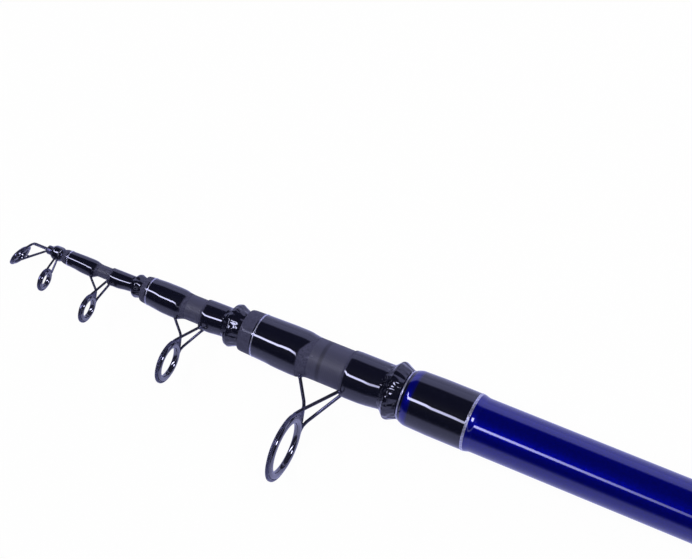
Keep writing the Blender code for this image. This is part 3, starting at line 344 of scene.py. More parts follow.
def add(tree, kind, inputs=(), out=0, **settings):
    """Adds a node with its settings and links, and returns one of its outputs.

    The inputs are values and other nodes' outputs, in the order of the node's sockets or by socket.
    """
    node = tree.nodes.new(kind)
    for name, value in settings.items():
        setattr(node, name, value)
    for key, value in inputs.items() if isinstance(inputs, dict) else enumerate(inputs):
        socket = node.inputs[key]
        if isinstance(value, bpy.types.NodeSocket):
            tree.links.new(value, socket)
        else:
            socket.default_value = (*value, 1) if socket.type == "RGBA" else value
    return node.outputs[out]


def coated(name, tone, roughness, metallic=0.0, coat=0.0, coat_roughness=0.03, **sockets):
    """A new Principled material. Returns it with its tree and its shader.

    Further sockets go by their names, with an underscore for a space.
    """
    material = bpy.data.materials.new(name)
    material.use_nodes = True
    shader = material.node_tree.nodes["Principled BSDF"]
    shader.inputs["Base Color"].default_value = (*tone, 1)
    shader.inputs["Roughness"].default_value = roughness
    shader.inputs["Metallic"].default_value = metallic
    shader.inputs["Coat Weight"].default_value = coat
    shader.inputs["Coat Roughness"].default_value = coat_roughness
    for socket, value in sockets.items():
        shader.inputs[socket.replace("_", " ")].default_value = value
    return material, material.node_tree, shader


def feed(tree, shader, **outputs):
    """Links each output to the shader's socket of its name, with an underscore for a space."""
    for socket, output in outputs.items():
        tree.links.new(output, shader.inputs[socket.replace("_", " ")])


def coordinate(tree, axis="X"):
    """A point's place along the rod, world X, or across it, away from the guides, world Y."""
    return add(tree, "ShaderNodeSeparateXYZ", (add(tree, "ShaderNodeTexCoord", out="Object"),), axis)


def turns(tree, pitch):
    """A wave from -1 to 1 along the rod, once each pitch."""
    phase = add(tree, "ShaderNodeMath", (coordinate(tree), 2 * math.pi / pitch), operation="MULTIPLY")
    return add(tree, "ShaderNodeMath", (phase,), operation="SINE")


def ridges(tree, pitch, height):
    """The bumps of turns wound along the rod."""
    return add(tree, "ShaderNodeBump", {"Height": turns(tree, pitch), "Distance": height})


def toned(tree, share, tone, low, high):
    """The tone from low times itself to high times itself."""
    first, second = (tuple(channel * times for channel in tone) for times in (low, high))
    return add(tree, "ShaderNodeMix", {0: share, 6: first, 7: second}, 2, data_type="RGBA")


def turn_shaded(tree, tone, pitch, low, high):
    """Painted shade between turns and painted highlight on their tops: the tone from low times itself between
    them to high times itself on their tops.
    """
    share = add(tree, "ShaderNodeMapRange", (turns(tree, pitch), -1, 1), **SMOOTH)
    return toned(tree, share, tone, low, high)


def grain(tree, scale, detail=2.0, stretch=(1, 1, 1)):
    """Noise whose grains are about 1 / scale metres across, drawn out by the stretch."""
    place = add(tree, "ShaderNodeTexCoord", out="Object")
    place = add(tree, "ShaderNodeMapping", {"Vector": place, "Scale": stretch})
    return add(tree, "ShaderNodeTexNoise", {"Vector": place, "Scale": scale, "Detail": detail})


def patches(tree, scale, detail=2.0, stretch=(1, 1, 1), cut=(0.3, 0.7), span=(0.0, 1.0)):
    """Soft patches of a grain, whose levels at the cut are made to span from one value to another."""
    return add(tree, "ShaderNodeMapRange", (grain(tree, scale, detail, stretch), *cut, *span), **SMOOTH)


def skin(tree, depth, scale, detail=2.0, stretch=(1, 1, 1), under=None):
    """The bumps of a grain, on top of another normal if one is given."""
    inputs = {"Height": grain(tree, scale, detail, stretch), "Distance": depth}
    if under:
        inputs["Normal"] = under
    return add(tree, "ShaderNodeBump", inputs)


def lacquer_look(palette):
    """Candy lacquer sprayed over glass cloth, then clear coated: deep, with tape lines just felt under it."""
    material, tree, shader = coated(
        "Blue candy lacquer",
        palette.lacquer,
        0.37,
        metallic=0.55,
        coat=1.0,
        coat_roughness=0.02,
        Coat_IOR=1.6,
        Specular_IOR_Level=0.0,
    )
    tape = ridges(tree, LACQUERED_TAPE_PITCH, 0.006 * MM)
    feed(
        tree,
        shader,
        Base_Color=toned(tree, patches(tree, 900, 3.0, cut=(0.35, 0.65)), palette.lacquer, 0.82, 1.0),
        Normal=skin(tree, 0.02 * MM, 2500, under=tape),
        Coat_Normal=skin(tree, 0.02 * MM, 90, 1.0, (0.3, 1, 1)),
    )
    return material


def graphite_look(name, palette, dark_ring=None):
    """Bare graphite blank, sanded and left matte: the wrapping tape's turns show as fine rings.

    A dark ring is the x where a darker line runs round the blank.
    """
    material, tree, shader = coated(name, palette.graphite, 0.5, Specular_IOR_Level=0.4)
    # Tape turns: painted shade between them and painted highlight on their tops; their bumps are added below
    tone = turn_shaded(tree, palette.graphite, TAPE_PITCH, 0.93, 1.05)
    if dark_ring:
        away = add(tree, "ShaderNodeMath", (coordinate(tree), dark_ring), operation="SUBTRACT")
        away = add(tree, "ShaderNodeMath", (away,), operation="ABSOLUTE")
        line = add(tree, "ShaderNodeMapRange", (away, *DARK_RING_REACH, 0.5, 0.0), **SMOOTH)
        tone = add(tree, "ShaderNodeMix", {0: line, 6: tone, 7: palette.thread}, 2, data_type="RGBA")
    tape = ridges(tree, TAPE_PITCH, 0.008 * MM)
    feed(tree, shader, Base_Color=tone, Normal=skin(tree, 0.01 * MM, 1800, under=tape))
    return material


def bare_share(tree, thin, full, slant):
    """How bare thread lies towards the end of its coat: 1 where the epoxy is thin, 0 where it is full.

    Both places shift by the slant per metre of Y over the top of the rod.
    """
    over_top = add(tree, "ShaderNodeMath", (coordinate(tree, "Y"), SLANT_FROM), operation="MAXIMUM")
    over_top = add(tree, "ShaderNodeMath", (over_top, SLANT_FROM), operation="SUBTRACT")
    shift = add(tree, "ShaderNodeMath", (over_top, slant), operation="MULTIPLY")
    place = add(tree, "ShaderNodeMath", (coordinate(tree), shift), operation="SUBTRACT")
    return add(tree, "ShaderNodeMapRange", (place, thin, full, 1.0, 0.0), **SMOOTH)


def thread_look(name, palette, ends=(), lumps=0.05 * MM, lump_size=6.0 * MM):
    """Black nylon thread under poured epoxy: thread turns faint beneath a clear, slightly rippled skin.

    A real turn is 0.2 mm, too fine to show, so turns are drawn wider. The ends are bare_share's places and
    slants, where the thread shows grey.
    """
    material, tree, shader = coated(
        name, palette.thread, 0.5, coat=1.0, coat_roughness=0.03, Coat_IOR=1.6, Specular_IOR_Level=0.04
    )
    # Thread turns: painted shade between them and painted highlight on their tops, as well as their bumps
    tone = turn_shaded(tree, palette.thread, THREAD_PITCH, 0.7, 1.5)
    if ends:
        fleck = patches(tree, 1500, stretch=(2, 1, 1), span=(0.5, 1.0))
        barest = 0.0
        for end in ends:
            bare = bare_share(tree, *end)
            grey = add(tree, "ShaderNodeMath", (bare, fleck), operation="MULTIPLY")
            tone = add(
                tree, "ShaderNodeMix", {0: grey, 6: tone, 7: palette.thread_end}, 2, data_type="RGBA"
            )
            barest = add(tree, "ShaderNodeMath", (barest, bare), operation="MAXIMUM")
        coat = add(tree, "ShaderNodeMapRange", (barest, 0, 1, 1.0, 0.1), **SMOOTH)
        feed(tree, shader, Coat_Weight=coat)
    feed(
        tree,
        shader,
        Base_Color=tone,
        Normal=ridges(tree, THREAD_PITCH, 0.01 * MM),
        Coat_Normal=skin(tree, lumps, 1 / lump_size, 1.0, (0.6, 1, 1)),
    )
    return material


def butt_wrap_look(palette):
    """The butt's wrap: blue shows through clear epoxy at both ends, and black thread lies between."""
    material, tree, shader = coated(
        "Butt thread under epoxy",
        palette.thread,
        0.4,
        coat=1.0,
        coat_roughness=0.02,
        Coat_IOR=1.6,
        Specular_IOR_Level=0.04,
    )
    place = coordinate(tree)
    from_lip = add(tree, "ShaderNodeMath", (place, LIP_X), operation="SUBTRACT")
    rise = add(tree, "ShaderNodeMapRange", (from_lip, *LIP_BAND_START), **SMOOTH)
    fall = add(tree, "ShaderNodeMapRange", (from_lip, *LIP_BAND_END, 1.0, 0.0), **SMOOTH)
    lip_band = add(tree, "ShaderNodeMath", (rise, fall), operation="MULTIPLY")
    low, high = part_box("butt_wrap_trim")
    rear_band = add(tree, "ShaderNodeMapRange", (place, low.x, high.x), **SMOOTH)
    blue = add(tree, "ShaderNodeMath", (lip_band, rear_band), operation="MAXIMUM")
    # Black thread: painted shade between its turns and painted highlight on their tops
    black = turn_shaded(tree, palette.thread, THREAD_PITCH, 0.7, 1.4)
    feed(
        tree,
        shader,
        Base_Color=add(tree, "ShaderNodeMix", {0: blue, 6: black, 7: palette.lacquer}, 2, data_type="RGBA"),
        Metallic=add(tree, "ShaderNodeMath", (blue, 0.6), operation="MULTIPLY"),
        Normal=ridges(tree, THREAD_PITCH, 0.008 * MM),
        Coat_Normal=skin(tree, 0.03 * MM, 110, 1.0, (0.5, 1, 1)),
    )
    return material


def silver_look(palette):
    """Metallised thread laid in a few turns under epoxy: its broken glints gather in the light.

    Its twist is finer than the render shows, so the glints are drawn about a millimetre apart.
    """
    material, tree, shader = coated("Silver metallic thread", palette.silver, 0.36, metallic=0.85, coat=1.0)
    tone = toned(tree, patches(tree, 1000, cut=(0.35, 0.65)), palette.silver, 0.6, 1.0)
    feed(tree, shader, Base_Color=tone, Normal=skin(tree, 0.03 * MM, 2200))
    return material


def gunmetal_look(palette):
    """Stainless wire, brazed and plated dark: a glossy metal with faint polishing marks."""
    material, tree, shader = coated("Gunmetal plating", palette.gunmetal, 0.16, metallic=0.8)
    feed(
        tree,
        shader,
        Base_Color=toned(tree, patches(tree, 700, 3.0, (1, 1, 4)), palette.gunmetal, 0.85, 1.1),
        Roughness=patches(tree, 400, span=(0.16, 0.26)),
        Normal=skin(tree, 0.002 * MM, 1600),
    )
    return material


def ceramic_look(palette):
    """Silicon carbide, ground and diamond polished: black with a bright, glassy face."""
    material, tree, shader = coated("Polished silicon carbide", palette.ceramic, 0.07, IOR=2.4)
    tone = toned(tree, patches(tree, 1200, 3.0), palette.ceramic, 0.7, 1.6)
    feed(tree, shader, Base_Color=tone, Roughness=patches(tree, 500, span=(0.05, 0.1)))
    return material


def foam_look(name, tone, cell):
    """Closed-cell foam ground to size: matte, with open cells across its skin, and painted shade in them."""
    material, tree, shader = coated(name, tone, 0.85, Specular_IOR_Level=0.3)
    place = add(tree, "ShaderNodeTexCoord", out="Object")
    cells = add(tree, "ShaderNodeTexVoronoi", {"Vector": place, "Scale": 1 / cell}, feature="F1")
    share = add(tree, "ShaderNodeMapRange", (cells, 0.0, 0.5), **SMOOTH)
    # Painted shade: the open cells are darker towards their middles, where they are deepest
    pit_shade = tuple(channel * 0.55 for channel in tone)
    patchy = toned(tree, patches(tree, 120, 4.0, cut=(0.35, 0.65)), tone, 0.8, 1.25)
    feed(
        tree,
        shader,
        Base_Color=add(tree, "ShaderNodeMix", {0: share, 6: pit_shade, 7: patchy}, 2, data_type="RGBA"),
        Normal=add(tree, "ShaderNodeBump", {"Height": cells, "Distance": 0.12 * MM}),
    )
    return material


def nylon_look(palette):
    """Glass-filled nylon, injection moulded: satin, with the mould's fine spark-eroded grain."""
    material, tree, shader = coated("Moulded black nylon", palette.nylon, 0.42)
    feed(
        tree,
        shader,
        Base_Color=toned(tree, patches(tree, 1400, 3.0), palette.nylon, 0.8, 1.2),
        Roughness=patches(tree, 1400, 3.0, span=(0.36, 0.5)),
        Normal=skin(tree, 0.03 * MM, 1400, 3.0),
    )
    return material


def anodised_look(palette):
    """Anodised aluminium, turned on a lathe: satin metal with fine tool marks round it."""
    material, tree, shader = coated("Anodised aluminium", palette.anodised, 0.3, metallic=1.0)
    feed(
        tree,
        shader,
        # Tool marks: painted shade between them and painted highlight on their tops, as well as their bumps
        Base_Color=turn_shaded(tree, palette.anodised, TOOL_MARK_PITCH, 0.9, 1.08),
        Roughness=patches(tree, 900, span=(0.28, 0.36)),
        Normal=ridges(tree, TOOL_MARK_PITCH, 0.003 * MM),
    )
    return material


def rubber_look(palette):
    """Moulded rubber: matte, scuffed a little paler."""
    material, tree, shader = coated("Moulded black rubber", palette.rubber, 0.75, Specular_IOR_Level=0.35)
    tone = toned(tree, patches(tree, 220, 6.0, cut=(0.5, 0.75)), palette.rubber, 1.0, 2.2)
    feed(tree, shader, Base_Color=tone, Normal=skin(tree, 0.04 * MM, 1100, 3.0))
    return material


LOOKS = {}


def make_looks(palette):
    """Every material, by the record's slot or by the node that has its own."""
    LOOKS.update(
        blue_blank=lacquer_look(palette),
        carbon_blank=graphite_look("Sanded graphite", palette),
        section_2_blank=graphite_look("Sanded graphite with a ring", palette, DARK_RING_X),
        black_wrap=thread_look("Black thread under epoxy", palette),
        butt_front_wrap=butt_wrap_look(palette),
        silver_thread=silver_look(palette),
        guide_frame=gunmetal_look(palette),
        guide_ring=ceramic_look(palette),
        grip_foam=foam_look("Black grip foam", palette.foam, 0.5 * MM),
        cushion_foam=foam_look("Grey cushion foam", palette.cushion, 0.8 * MM),
        seat_nylon=nylon_look(palette),
        seat_metal=anodised_look(palette),
        cap_rubber=rubber_look(palette),
    )
    lumpy = thread_look("Thread under thick epoxy", palette, lumps=2.0 * MM, lump_size=4.2 * MM)
    LOOKS["floating_guide_winding"] = lumpy
    for section in SECTIONS:
        LOOKS[f"{section}_collar"] = lumpy
        front, rear = f"{section}_front_wrap", f"{section}_rear_wrap"
        past_leg, slant = FULL_COATS[section]
        ends = [
            coat_end(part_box(front)[1].x + past_leg, COAT_PAST_LINE, slant),
            coat_end(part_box(f"{section}_trim")[0].x, COAT_BEFORE_RING),
        ]
        LOOKS[front] = thread_look(f"Front wrap of {section}", palette, ends)
        edge = coat_end(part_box(rear)[0].x, COAT_AT_EDGE)
        LOOKS[rear] = thread_look(f"Rear wrap of {section}", palette, [edge])


def coat_end(x, coat, slant=0.0):
    """Where a coat is thin and where it is full, beside an x, and its slant."""
    thin, full = coat
    return x + thin, x + full, slant


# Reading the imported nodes


def slot_of(node):
    """The material slot that the record gives a node."""
    return next(part["material_slot"] for part in frame["record"]["subparts"] if part["node"] == node)


def welded(node):
    """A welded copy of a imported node, whose own mesh is loose triangles."""
    work = bmesh.new()
    work.from_mesh(frame["nodes"][node].data)
    bmesh.ops.remove_doubles(work, verts=work.verts, dist=WELD)
    return work


def meridian(node, place):
    """The node's profile in its half plane at local +Y, as (along, radius), and whether it closes.

    The place takes the turned shape, whose axis is local X, to the rod.
    """
    work = welded(node)
    back = place.inverted()
    spots = {}
    for vertex in work.verts:
        local = back @ vertex.co
        if abs(local.z) < PLANE_TOLERANCE and local.y > -PLANE_TOLERANCE:
            spots[vertex.index] = (local.x, 0.0 if local.y < AXIS_TOLERANCE else local.y)
    beside = {index: [] for index in spots}
    for edge in work.edges:
        one, two = (vertex.index for vertex in edge.verts)
        if one in spots and two in spots:
            beside[one].append(two)
            beside[two].append(one)
    work.free()
    ends = [index for index, others in beside.items() if len(others) == 1]
    closed = not ends
    here = ends[0] if ends else next(index for index, others in beside.items() if others)
    path = [here]
    while True:
        onward = [other for other in beside[here] if other not in path]
        if not onward:
            break
        here = onward[0]
        path.append(here)
    return [spots[index] for index in path], closed


def eased(profile, closed, edge, soft=SOFT_REACH):
    """The profile with its corners rounded: hard ones by the edge radius, others by the soft reach."""
    points = [Vector(point) for point in profile]
    count = len(points)
    result = []
    for i, corner in enumerate(points):
        if not closed and i in (0, count - 1):
            result.append(corner)
            continue
        before, after = points[i - 1], points[(i + 1) % count]
        back, on = before - corner, after - corner
        turn = math.pi - back.angle(on, math.pi)
        if turn < STRAIGHT:
            result.append(corner)
            continue
        cap = edge if turn > HARD_CORNER else soft
        reach = min(cap, SIDE_SHARE * back.length, SIDE_SHARE * on.length)
        back.normalize()
        on.normalize()
        start, end = corner + back * reach, corner + on * reach
        if (before - start).length > 2 * SHORE:
            result.append(start + back * SHORE)
        for step in range(EASE_STEPS + 1):
            share = step / EASE_STEPS
            result.append(start.lerp(corner, share).lerp(corner.lerp(end, share), share))
        if (after - end).length > 2 * SHORE:
            result.append(end + on * SHORE)
    return [tuple(point) for point in result]


# Making pieces


def placed(name, work):
    """The bmesh as an object of the scene."""
    mesh = bpy.data.meshes.new(name)
    work.to_mesh(mesh)
    work.free()
    obj = bpy.data.objects.new(name, mesh)
    bpy.context.scene.collection.objects.link(obj)
    return obj


def baked(obj):
    """The evaluated shape of an object as a bmesh. The object is removed."""
    graph = bpy.context.evaluated_depsgraph_get()
    mesh = bpy.data.meshes.new_from_object(obj.evaluated_get(graph))
    bpy.data.objects.remove(obj, do_unlink=True)
    work = bmesh.new()
    work.from_mesh(mesh)
    return work


def finished(name, work, node, place=None, added=False):
    """The bmesh as a smooth piece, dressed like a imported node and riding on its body.

    It stands for the node, unless it is only added to it.
    """
    if place is not None:
        bmesh.ops.transform(work, matrix=place, verts=work.verts)
    bmesh.ops.recalc_face_normals(work, faces=work.faces)
    piece = placed(name, work)
    piece.data.shade_smooth()
    piece.data.materials.append(LOOKS.get(node) or LOOKS[slot_of(node)])
    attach(piece, frame["nodes"][node]["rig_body"])
    if not added:
        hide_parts(node)
    return piece


def revolved(profile, closed, sides, rise=None):
    """A bmesh turned about local X. The rise adds to a radius at (along, angle from -Y)."""
    work = bmesh.new()
    rings = []
    for distance, radius in profile:
        if radius <= AXIS_TOLERANCE:
            rings.append([work.verts.new((distance, 0, 0))])
            continue
        ring = []
        for side in range(sides):
            angle = 2 * math.pi * side / sides
            reach = radius + (rise(distance, radius, angle) if rise else 0)
            ring.append(work.verts.new((distance, -reach * math.cos(angle), reach * math.sin(angle))))
        rings.append(ring)
    pairs = list(zip(rings, rings[1:]))
    if closed:
        pairs.append((rings[-1], rings[0]))
    for one, two in pairs:
        for side in range(sides):
            follow = (side + 1) % sides
            if len(one) == 1 and len(two) > 1:
                work.faces.new((one[0], two[side], two[follow]))
            elif len(two) == 1 and len(one) > 1:
                work.faces.new((one[side], two[0], one[follow]))
            elif len(one) > 1:
                work.faces.new((one[side], two[side], two[follow], one[follow]))
    return work


def sunk(profile, sink):
    """The profile with its bore made smaller by the sink."""
    radii = [radius for _, radius in profile]
    middle = (min(radii) + max(radii)) / 2
    return [(x, radius - sink if radius < middle else radius) for x, radius in profile]


def turned_again(node, sides, edge, place=None, name=None, sink=0.0):
    """A packed turned node made again with more sides and eased edges, in its own place."""
    place = place or Matrix.Identity(4)
    profile, closed = meridian(node, place)
    if sink:
        profile = sunk(profile, sink)
    work = revolved(eased(profile, closed, edge), closed, sides)
    return finished(name or f"{node}_turned", work, node, place)


def bead(node, sides, place):
    """A guide ring ground to a full section, which stands a little proud of its rim on both sides."""
    profile, _ = meridian(node, place)
    bore, outside = min(radius for _, radius in profile), max(radius for _, radius in profile)
    half_depth = BEAD_FULLNESS * max(x for x, _ in profile)
    middle, half_width = (bore + outside) / 2, (outside - bore) / 2
    section = []
    for step in range(BEAD_STEPS):
        angle = 2 * math.pi * step / BEAD_STEPS
        over, out = math.cos(angle), math.sin(angle)
        x = half_depth * math.copysign(abs(over) ** BEAD_SQUARENESS, over)
        section.append((x, middle + half_width * math.copysign(abs(out) ** BEAD_SQUARENESS, out)))
    return finished(f"{node}_ground", revolved(section, True, sides), node, place)


class Outline:
    """The outer radius of a packed tube at any x."""

    def __init__(self, node):
        profile, closed = meridian(node, Matrix.Identity(4))
        self.edges = list(zip(profile, profile[1:] + profile[:1] if closed else profile[1:]))
        self.low = min(x for x, _ in profile)
        self.high = max(x for x, _ in profile)

    def __call__(self, x):
        x = min(max(x, self.low), self.high)
        radii = []
        for (x1, r1), (x2, r2) in self.edges:
            if x1 != x2 and min(x1, x2) <= x <= max(x1, x2):
                radii.append(r1 + (r2 - r1) * (x - x1) / (x2 - x1))
        return max(radii)


class WrapShape:
    """A packed wrap at any x: its outer radius, and how far its outside is off centre towards the guides.

    It is read from the wrap's highest points, which skip the pockets of the guides' feet and fill the groove
    of a silver ring.
    """

    def __init__(self, node):
        work = welded(node)
        tops = {}
        for vertex in work.verts:
            place = round(vertex.co.x, 6)
            if vertex.co.z > 0 and abs(vertex.co.y) < TOP_HALF_WIDTH:
                if place not in tops or vertex.co.z > tops[place].z:
                    tops[place] = vertex.co.copy()
        work.free()
        self.points = sorted((x, top.z, -top.y) for x, top in tops.items())
        self.low, self.high = self.points[0][0], self.points[-1][0]

    def at(self, x):
        x = min(max(x, self.low), self.high)
        for (x1, *first), (x2, *second) in zip(self.points, self.points[1:]):
            if x <= x2:
                share = (x - x1) / (x2 - x1)
                return [one + (two - one) * share for one, two in zip(first, second)]
        return self.points[-1][1:]

    def flowed(self, x, reach=FLOW):
        """The radius and offset as epoxy evens them out over the reach to either side."""
        steps = range(-FLOW_SAMPLES, FLOW_SAMPLES + 1)
        spots = [self.at(x + reach * step / FLOW_SAMPLES) for step in steps]
        return [sum(values) / len(values) for values in zip(*spots)]


def stations(low, high, spacing):
    """Places from low to high, closer together near both ends."""
    near = [spacing / 4 * step for step in range(END_STATIONS)]
    count = max(1, math.ceil((high - low - 2 * near[-1]) / spacing))
    middle = [low + near[-1] + (high - low - 2 * near[-1]) * step / count for step in range(1, count)]
    return [low + step for step in near] + middle + [high - step for step in reversed(near)]


def smooth_share(value, low, high):
    """0 at low and 1 at high, easing in and out."""
    share = min(1.0, max(0.0, (value - low) / (high - low)))
    return share * share * (3 - 2 * share)


def wound(node, tube, build_up, span, sides, rise=None):
    """Thread wound on a tube and coated.

    The build-up at any x of the span is its height over the tube all round, and how much more over a foot.
    """
    places = stations(*span, STATION_SPACING)
    outer = [(x, tube(x) + build_up(x)[0]) for x in places]
    bore = [(span[1], tube(span[1]) - GLUE_SINK), (span[0], tube(span[0]) - GLUE_SINK)]

    def spread(x, radius, angle):
        if radius < tube(x):
            return 0
        share = (0.5 + 0.5 * math.cos(angle)) ** FOOT_SHARPNESS
        return build_up(x)[1] * share + (rise(x, radius, angle) if rise else 0)

    return finished(f"{node}_wound", revolved(outer + bore, True, sides, spread), node)


def meniscus(depth, reach=MENISCUS):
    """How full the epoxy stands at a depth in from its edge."""
    share = min(1.0, max(0.0, depth / reach))
    return math.sqrt(1 - (1 - share) ** 2)


def guide_place(guide):
    """Takes a guide's turned shapes, whose axis is local X, to the rod. The tip-top is rolled and leans."""
    low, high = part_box(f"{guide}_ring")
    place = Matrix.Translation((low + high) / 2)
    if guide == "tip_top":
        return place @ Matrix.Rotation(TIP_ROLL, 4, "X") @ Matrix.Rotation(TIP_RING_LEAN, 4, "Z")
    return place


def brazed(guide, wire, voxels_per_wire, sides, edge):
    """A guide frame as brazed and plated: wires that flow into each other, and a rim that is truly round."""
    node = f"{guide}_frame"
    rough = placed(node, welded(node))
    remesh = rough.modifiers.new("Braze", "REMESH")
    remesh.mode = "VOXEL"
    remesh.voxel_size = wire / voxels_per_wire
    smooth = rough.modifiers.new("Flow", "SMOOTH")
    smooth.factor = 0.5
    smooth.iterations = FLOW_STEPS
    work = baked(rough)
    work.normal_update()

    place = guide_place(guide)
    upside_down = place @ Matrix.Rotation(math.pi, 4, "X")
    rim, _ = meridian(node, upside_down)
    bore, outside = min(radius for _, radius in rim), max(radius for _, radius in rim)
    width = outside - bore
    back = place.inverted()
    for vertex in work.verts:
        local = back @ vertex.co
        radius = math.hypot(local.y, local.z)
        beside_rim = abs(local.x) <= RIM_REACH * width
        if beside_rim and radius <= outside:
            inward = smooth_share(radius, outside, outside - SINK_RUN * width)
            local.x *= 1 + (RIM_SINK - 1) * inward
            safe = max(radius, bore + BORE_MARGIN * width)
            local.y, local.z = local.y * safe / radius, local.z * safe / radius
            vertex.co = place @ local
        else:
            gained = smooth_share(radius, outside, outside + REGAIN_RUN * width) if beside_rim else 1
            vertex.co += vertex.normal * wire * WIRE_REGAIN * gained
    finished(f"{guide}_brazed", work, node)
    turned_again(node, sides, edge, upside_down, name=f"{guide}_rim_turned")


def moulded(node):
    """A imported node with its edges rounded, in place."""
    work = welded(node)
    bmesh.ops.dissolve_limit(
        work, angle_limit=MOULD_FLAT, verts=work.verts, edges=work.edges, delimit={"NORMAL"}
    )
    rough = placed(node, work)
    bevel = rough.modifiers.new("Edges", "BEVEL")
    bevel.width = MOULD_EDGE
    bevel.segments = 2
    bevel.limit_method = "ANGLE"
    bevel.angle_limit = MOULD_CORNER
    piece = finished(f"{node}_moulded", baked(rough), node)
    piece.data.set_sharp_from_angle(angle=MOULD_CREASE)
    return piece


# Geometry Nodes

TURN_SOCKETS = {
    "Turns": "NodeSocketInt",
    "Pitch": "NodeSocketFloat",
    "Start": "NodeSocketFloat",
    "Radius": "NodeSocketFloat",
    "Thread": "NodeSocketFloat",
    "Sides": "NodeSocketInt",
    "Material": "NodeSocketMaterial",
}
Row = namedtuple("Row", "turns pitch start radius thread sides")


def rows_of_turns():
    """A node tree that lays rings of thread side by side along X."""
    tree = bpy.data.node_groups.new("Turns in a row", "GeometryNodeTree")
    sockets = {}
    for name, kind in TURN_SOCKETS.items():
        sockets[name] = tree.interface.new_socket(name, in_out="INPUT", socket_type=kind).identifier
    tree.interface.new_socket("Geometry", in_out="OUTPUT", socket_type="NodeSocketGeometry")
    given = tree.nodes.new("NodeGroupInput").outputs
    start = add(tree, "ShaderNodeCombineXYZ", (given["Start"],))
    step = add(tree, "ShaderNodeCombineXYZ", (given["Pitch"],))
    line = add(
        tree,
        "GeometryNodeMeshLine",
        {"Count": given["Turns"], "Start Location": start, "Offset": step},
        mode="OFFSET",
    )
    circle = add(
        tree, "GeometryNodeCurvePrimitiveCircle", {"Resolution": given["Sides"], "Radius": given["Radius"]}
    )
    strand = add(
        tree, "GeometryNodeCurvePrimitiveCircle", {"Resolution": STRAND_SIDES, "Radius": given["Thread"]}
    )
    turn = add(tree, "GeometryNodeCurveToMesh", {"Curve": circle, "Profile Curve": strand})
    round_rod = (0, math.pi / 2, 0)
    laid = add(
        tree, "GeometryNodeInstanceOnPoints", {"Points": line, "Instance": turn, "Rotation": round_rod}
    )
    real = add(tree, "GeometryNodeRealizeInstances", (laid,))
    smooth = add(tree, "GeometryNodeSetShadeSmooth", (real,))
    dressed = add(tree, "GeometryNodeSetMaterial", {"Geometry": smooth, "Material": given["Material"]})
    tree.links.new(dressed, tree.nodes.new("NodeGroupOutput").inputs[0])
    return tree, sockets


def laid_turns(name, row, node, added=False):
    """A row of turns baked to a plain mesh."""
    tree, sockets = rows_of_turns()
    carrier = placed(name, bmesh.new())
    modifier = carrier.modifiers.new("Turns", "NODES")
    modifier.node_group = tree
    material = LOOKS[slot_of(node)]
    for socket, value in zip(TURN_SOCKETS, (*row, material)):
        modifier[sockets[socket]] = value
    work = baked(carrier)
    bpy.data.node_groups.remove(tree)
    return finished(name, work, node, added=added)


def thread_ring(node, thread, sides):
    """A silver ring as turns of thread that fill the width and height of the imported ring."""
    low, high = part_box(node)
    width, top = RING_SHARE * (high.x - low.x), high.y
    count = max(2, round(width / thread))
    strand = width / count / 2
    start = (low.x + high.x - width) / 2 + strand
    row = Row(count, 2 * strand, start, top - strand + STRAND_LIFT, strand * STRAND_OVERLAP, sides)
    return laid_turns(f"{node}_turns", row, node)


# Wraps and collars


def wound_butt(sides):
    """The butt's wrap, which runs out on the blank behind its silver ring."""
    node = "butt_front_wrap"
    low, high = (corner.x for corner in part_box(node))
    trim_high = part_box("butt_wrap_trim")[1].x
    tube = Outline("butt_blank")
    shape = WrapShape(node)

    def build_up(x):
        share = smooth_share(x, high, trim_high)
        full = shape.flowed(x)[0] - tube(x)
        edge = LIP_HEIGHT_SHARE + (1 - LIP_HEIGHT_SHARE) * meniscus(x - low)
        return (THIN_HEIGHT + (full - THIN_HEIGHT) * share) * edge, 0

    return wound(node, tube, build_up, (low, high), sides)


def wound_wrap(section, part, sides):
    """A guide's front or rear wrap. The front one thins out past the leg, the rear one meets the collar."""
    node = f"{section}_{part}_wrap"
    tube = Outline(f"{section}_blank")
    low, high = (corner.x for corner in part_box(node))
    shape = WrapShape(node)
    thin, lip_reach = (THIN_ENDS[section], LIP_REACH) if part == "front" else (0, MENISCUS)

    def build_up(x):
        radius, aside = shape.flowed(min(x, high))
        share = smooth_share(x, high + thin, high - THIN_START * thin) if thin else 1
        full = radius - aside - tube(min(x, high))
        edge = meniscus(x - low, lip_reach)
        return (THIN_HEIGHT + (full - THIN_HEIGHT) * share) * edge, 2 * aside * share * edge

    return wound(node, tube, build_up, (low, high + thin), sides, over_foot(section, part))


def over_foot(section, part):
    """How far a wrap's thread stands up over the guide's foot and round the legs that leave it."""
    low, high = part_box(f"{section}_{part}_wrap")
    frame_low, frame_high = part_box(f"{section}_guide_frame")
    if part == "front":
        mouth, inward = high.x, -1
        length = high.x - frame_low.x
    else:
        mouth, inward = low.x, 1
        length = frame_high.x - low.x
    half = FOOT_HALF_WIDTHS[section]
    run_out = [length + past for past in FOOT_RUN_OUT]

    def rise(distance, radius, angle):
        if math.cos(angle) <= 0:
            return 0
        depth = (distance - mouth) * inward
        side = max(0.0, 1 - (radius * math.sin(angle) / half) ** 2) ** 2
        ridge = FOOT_RISE * smooth_share(depth, 0, FOOT_RUN_IN) * (1 - smooth_share(depth, *run_out))
        off_leg = (depth - LEG_FILLET_DEPTH) / LEG_FILLET_SPREAD
        leg = LEG_FILLET * math.exp(-(off_leg**2) / 2)
        return (ridge + leg) * side

    return rise


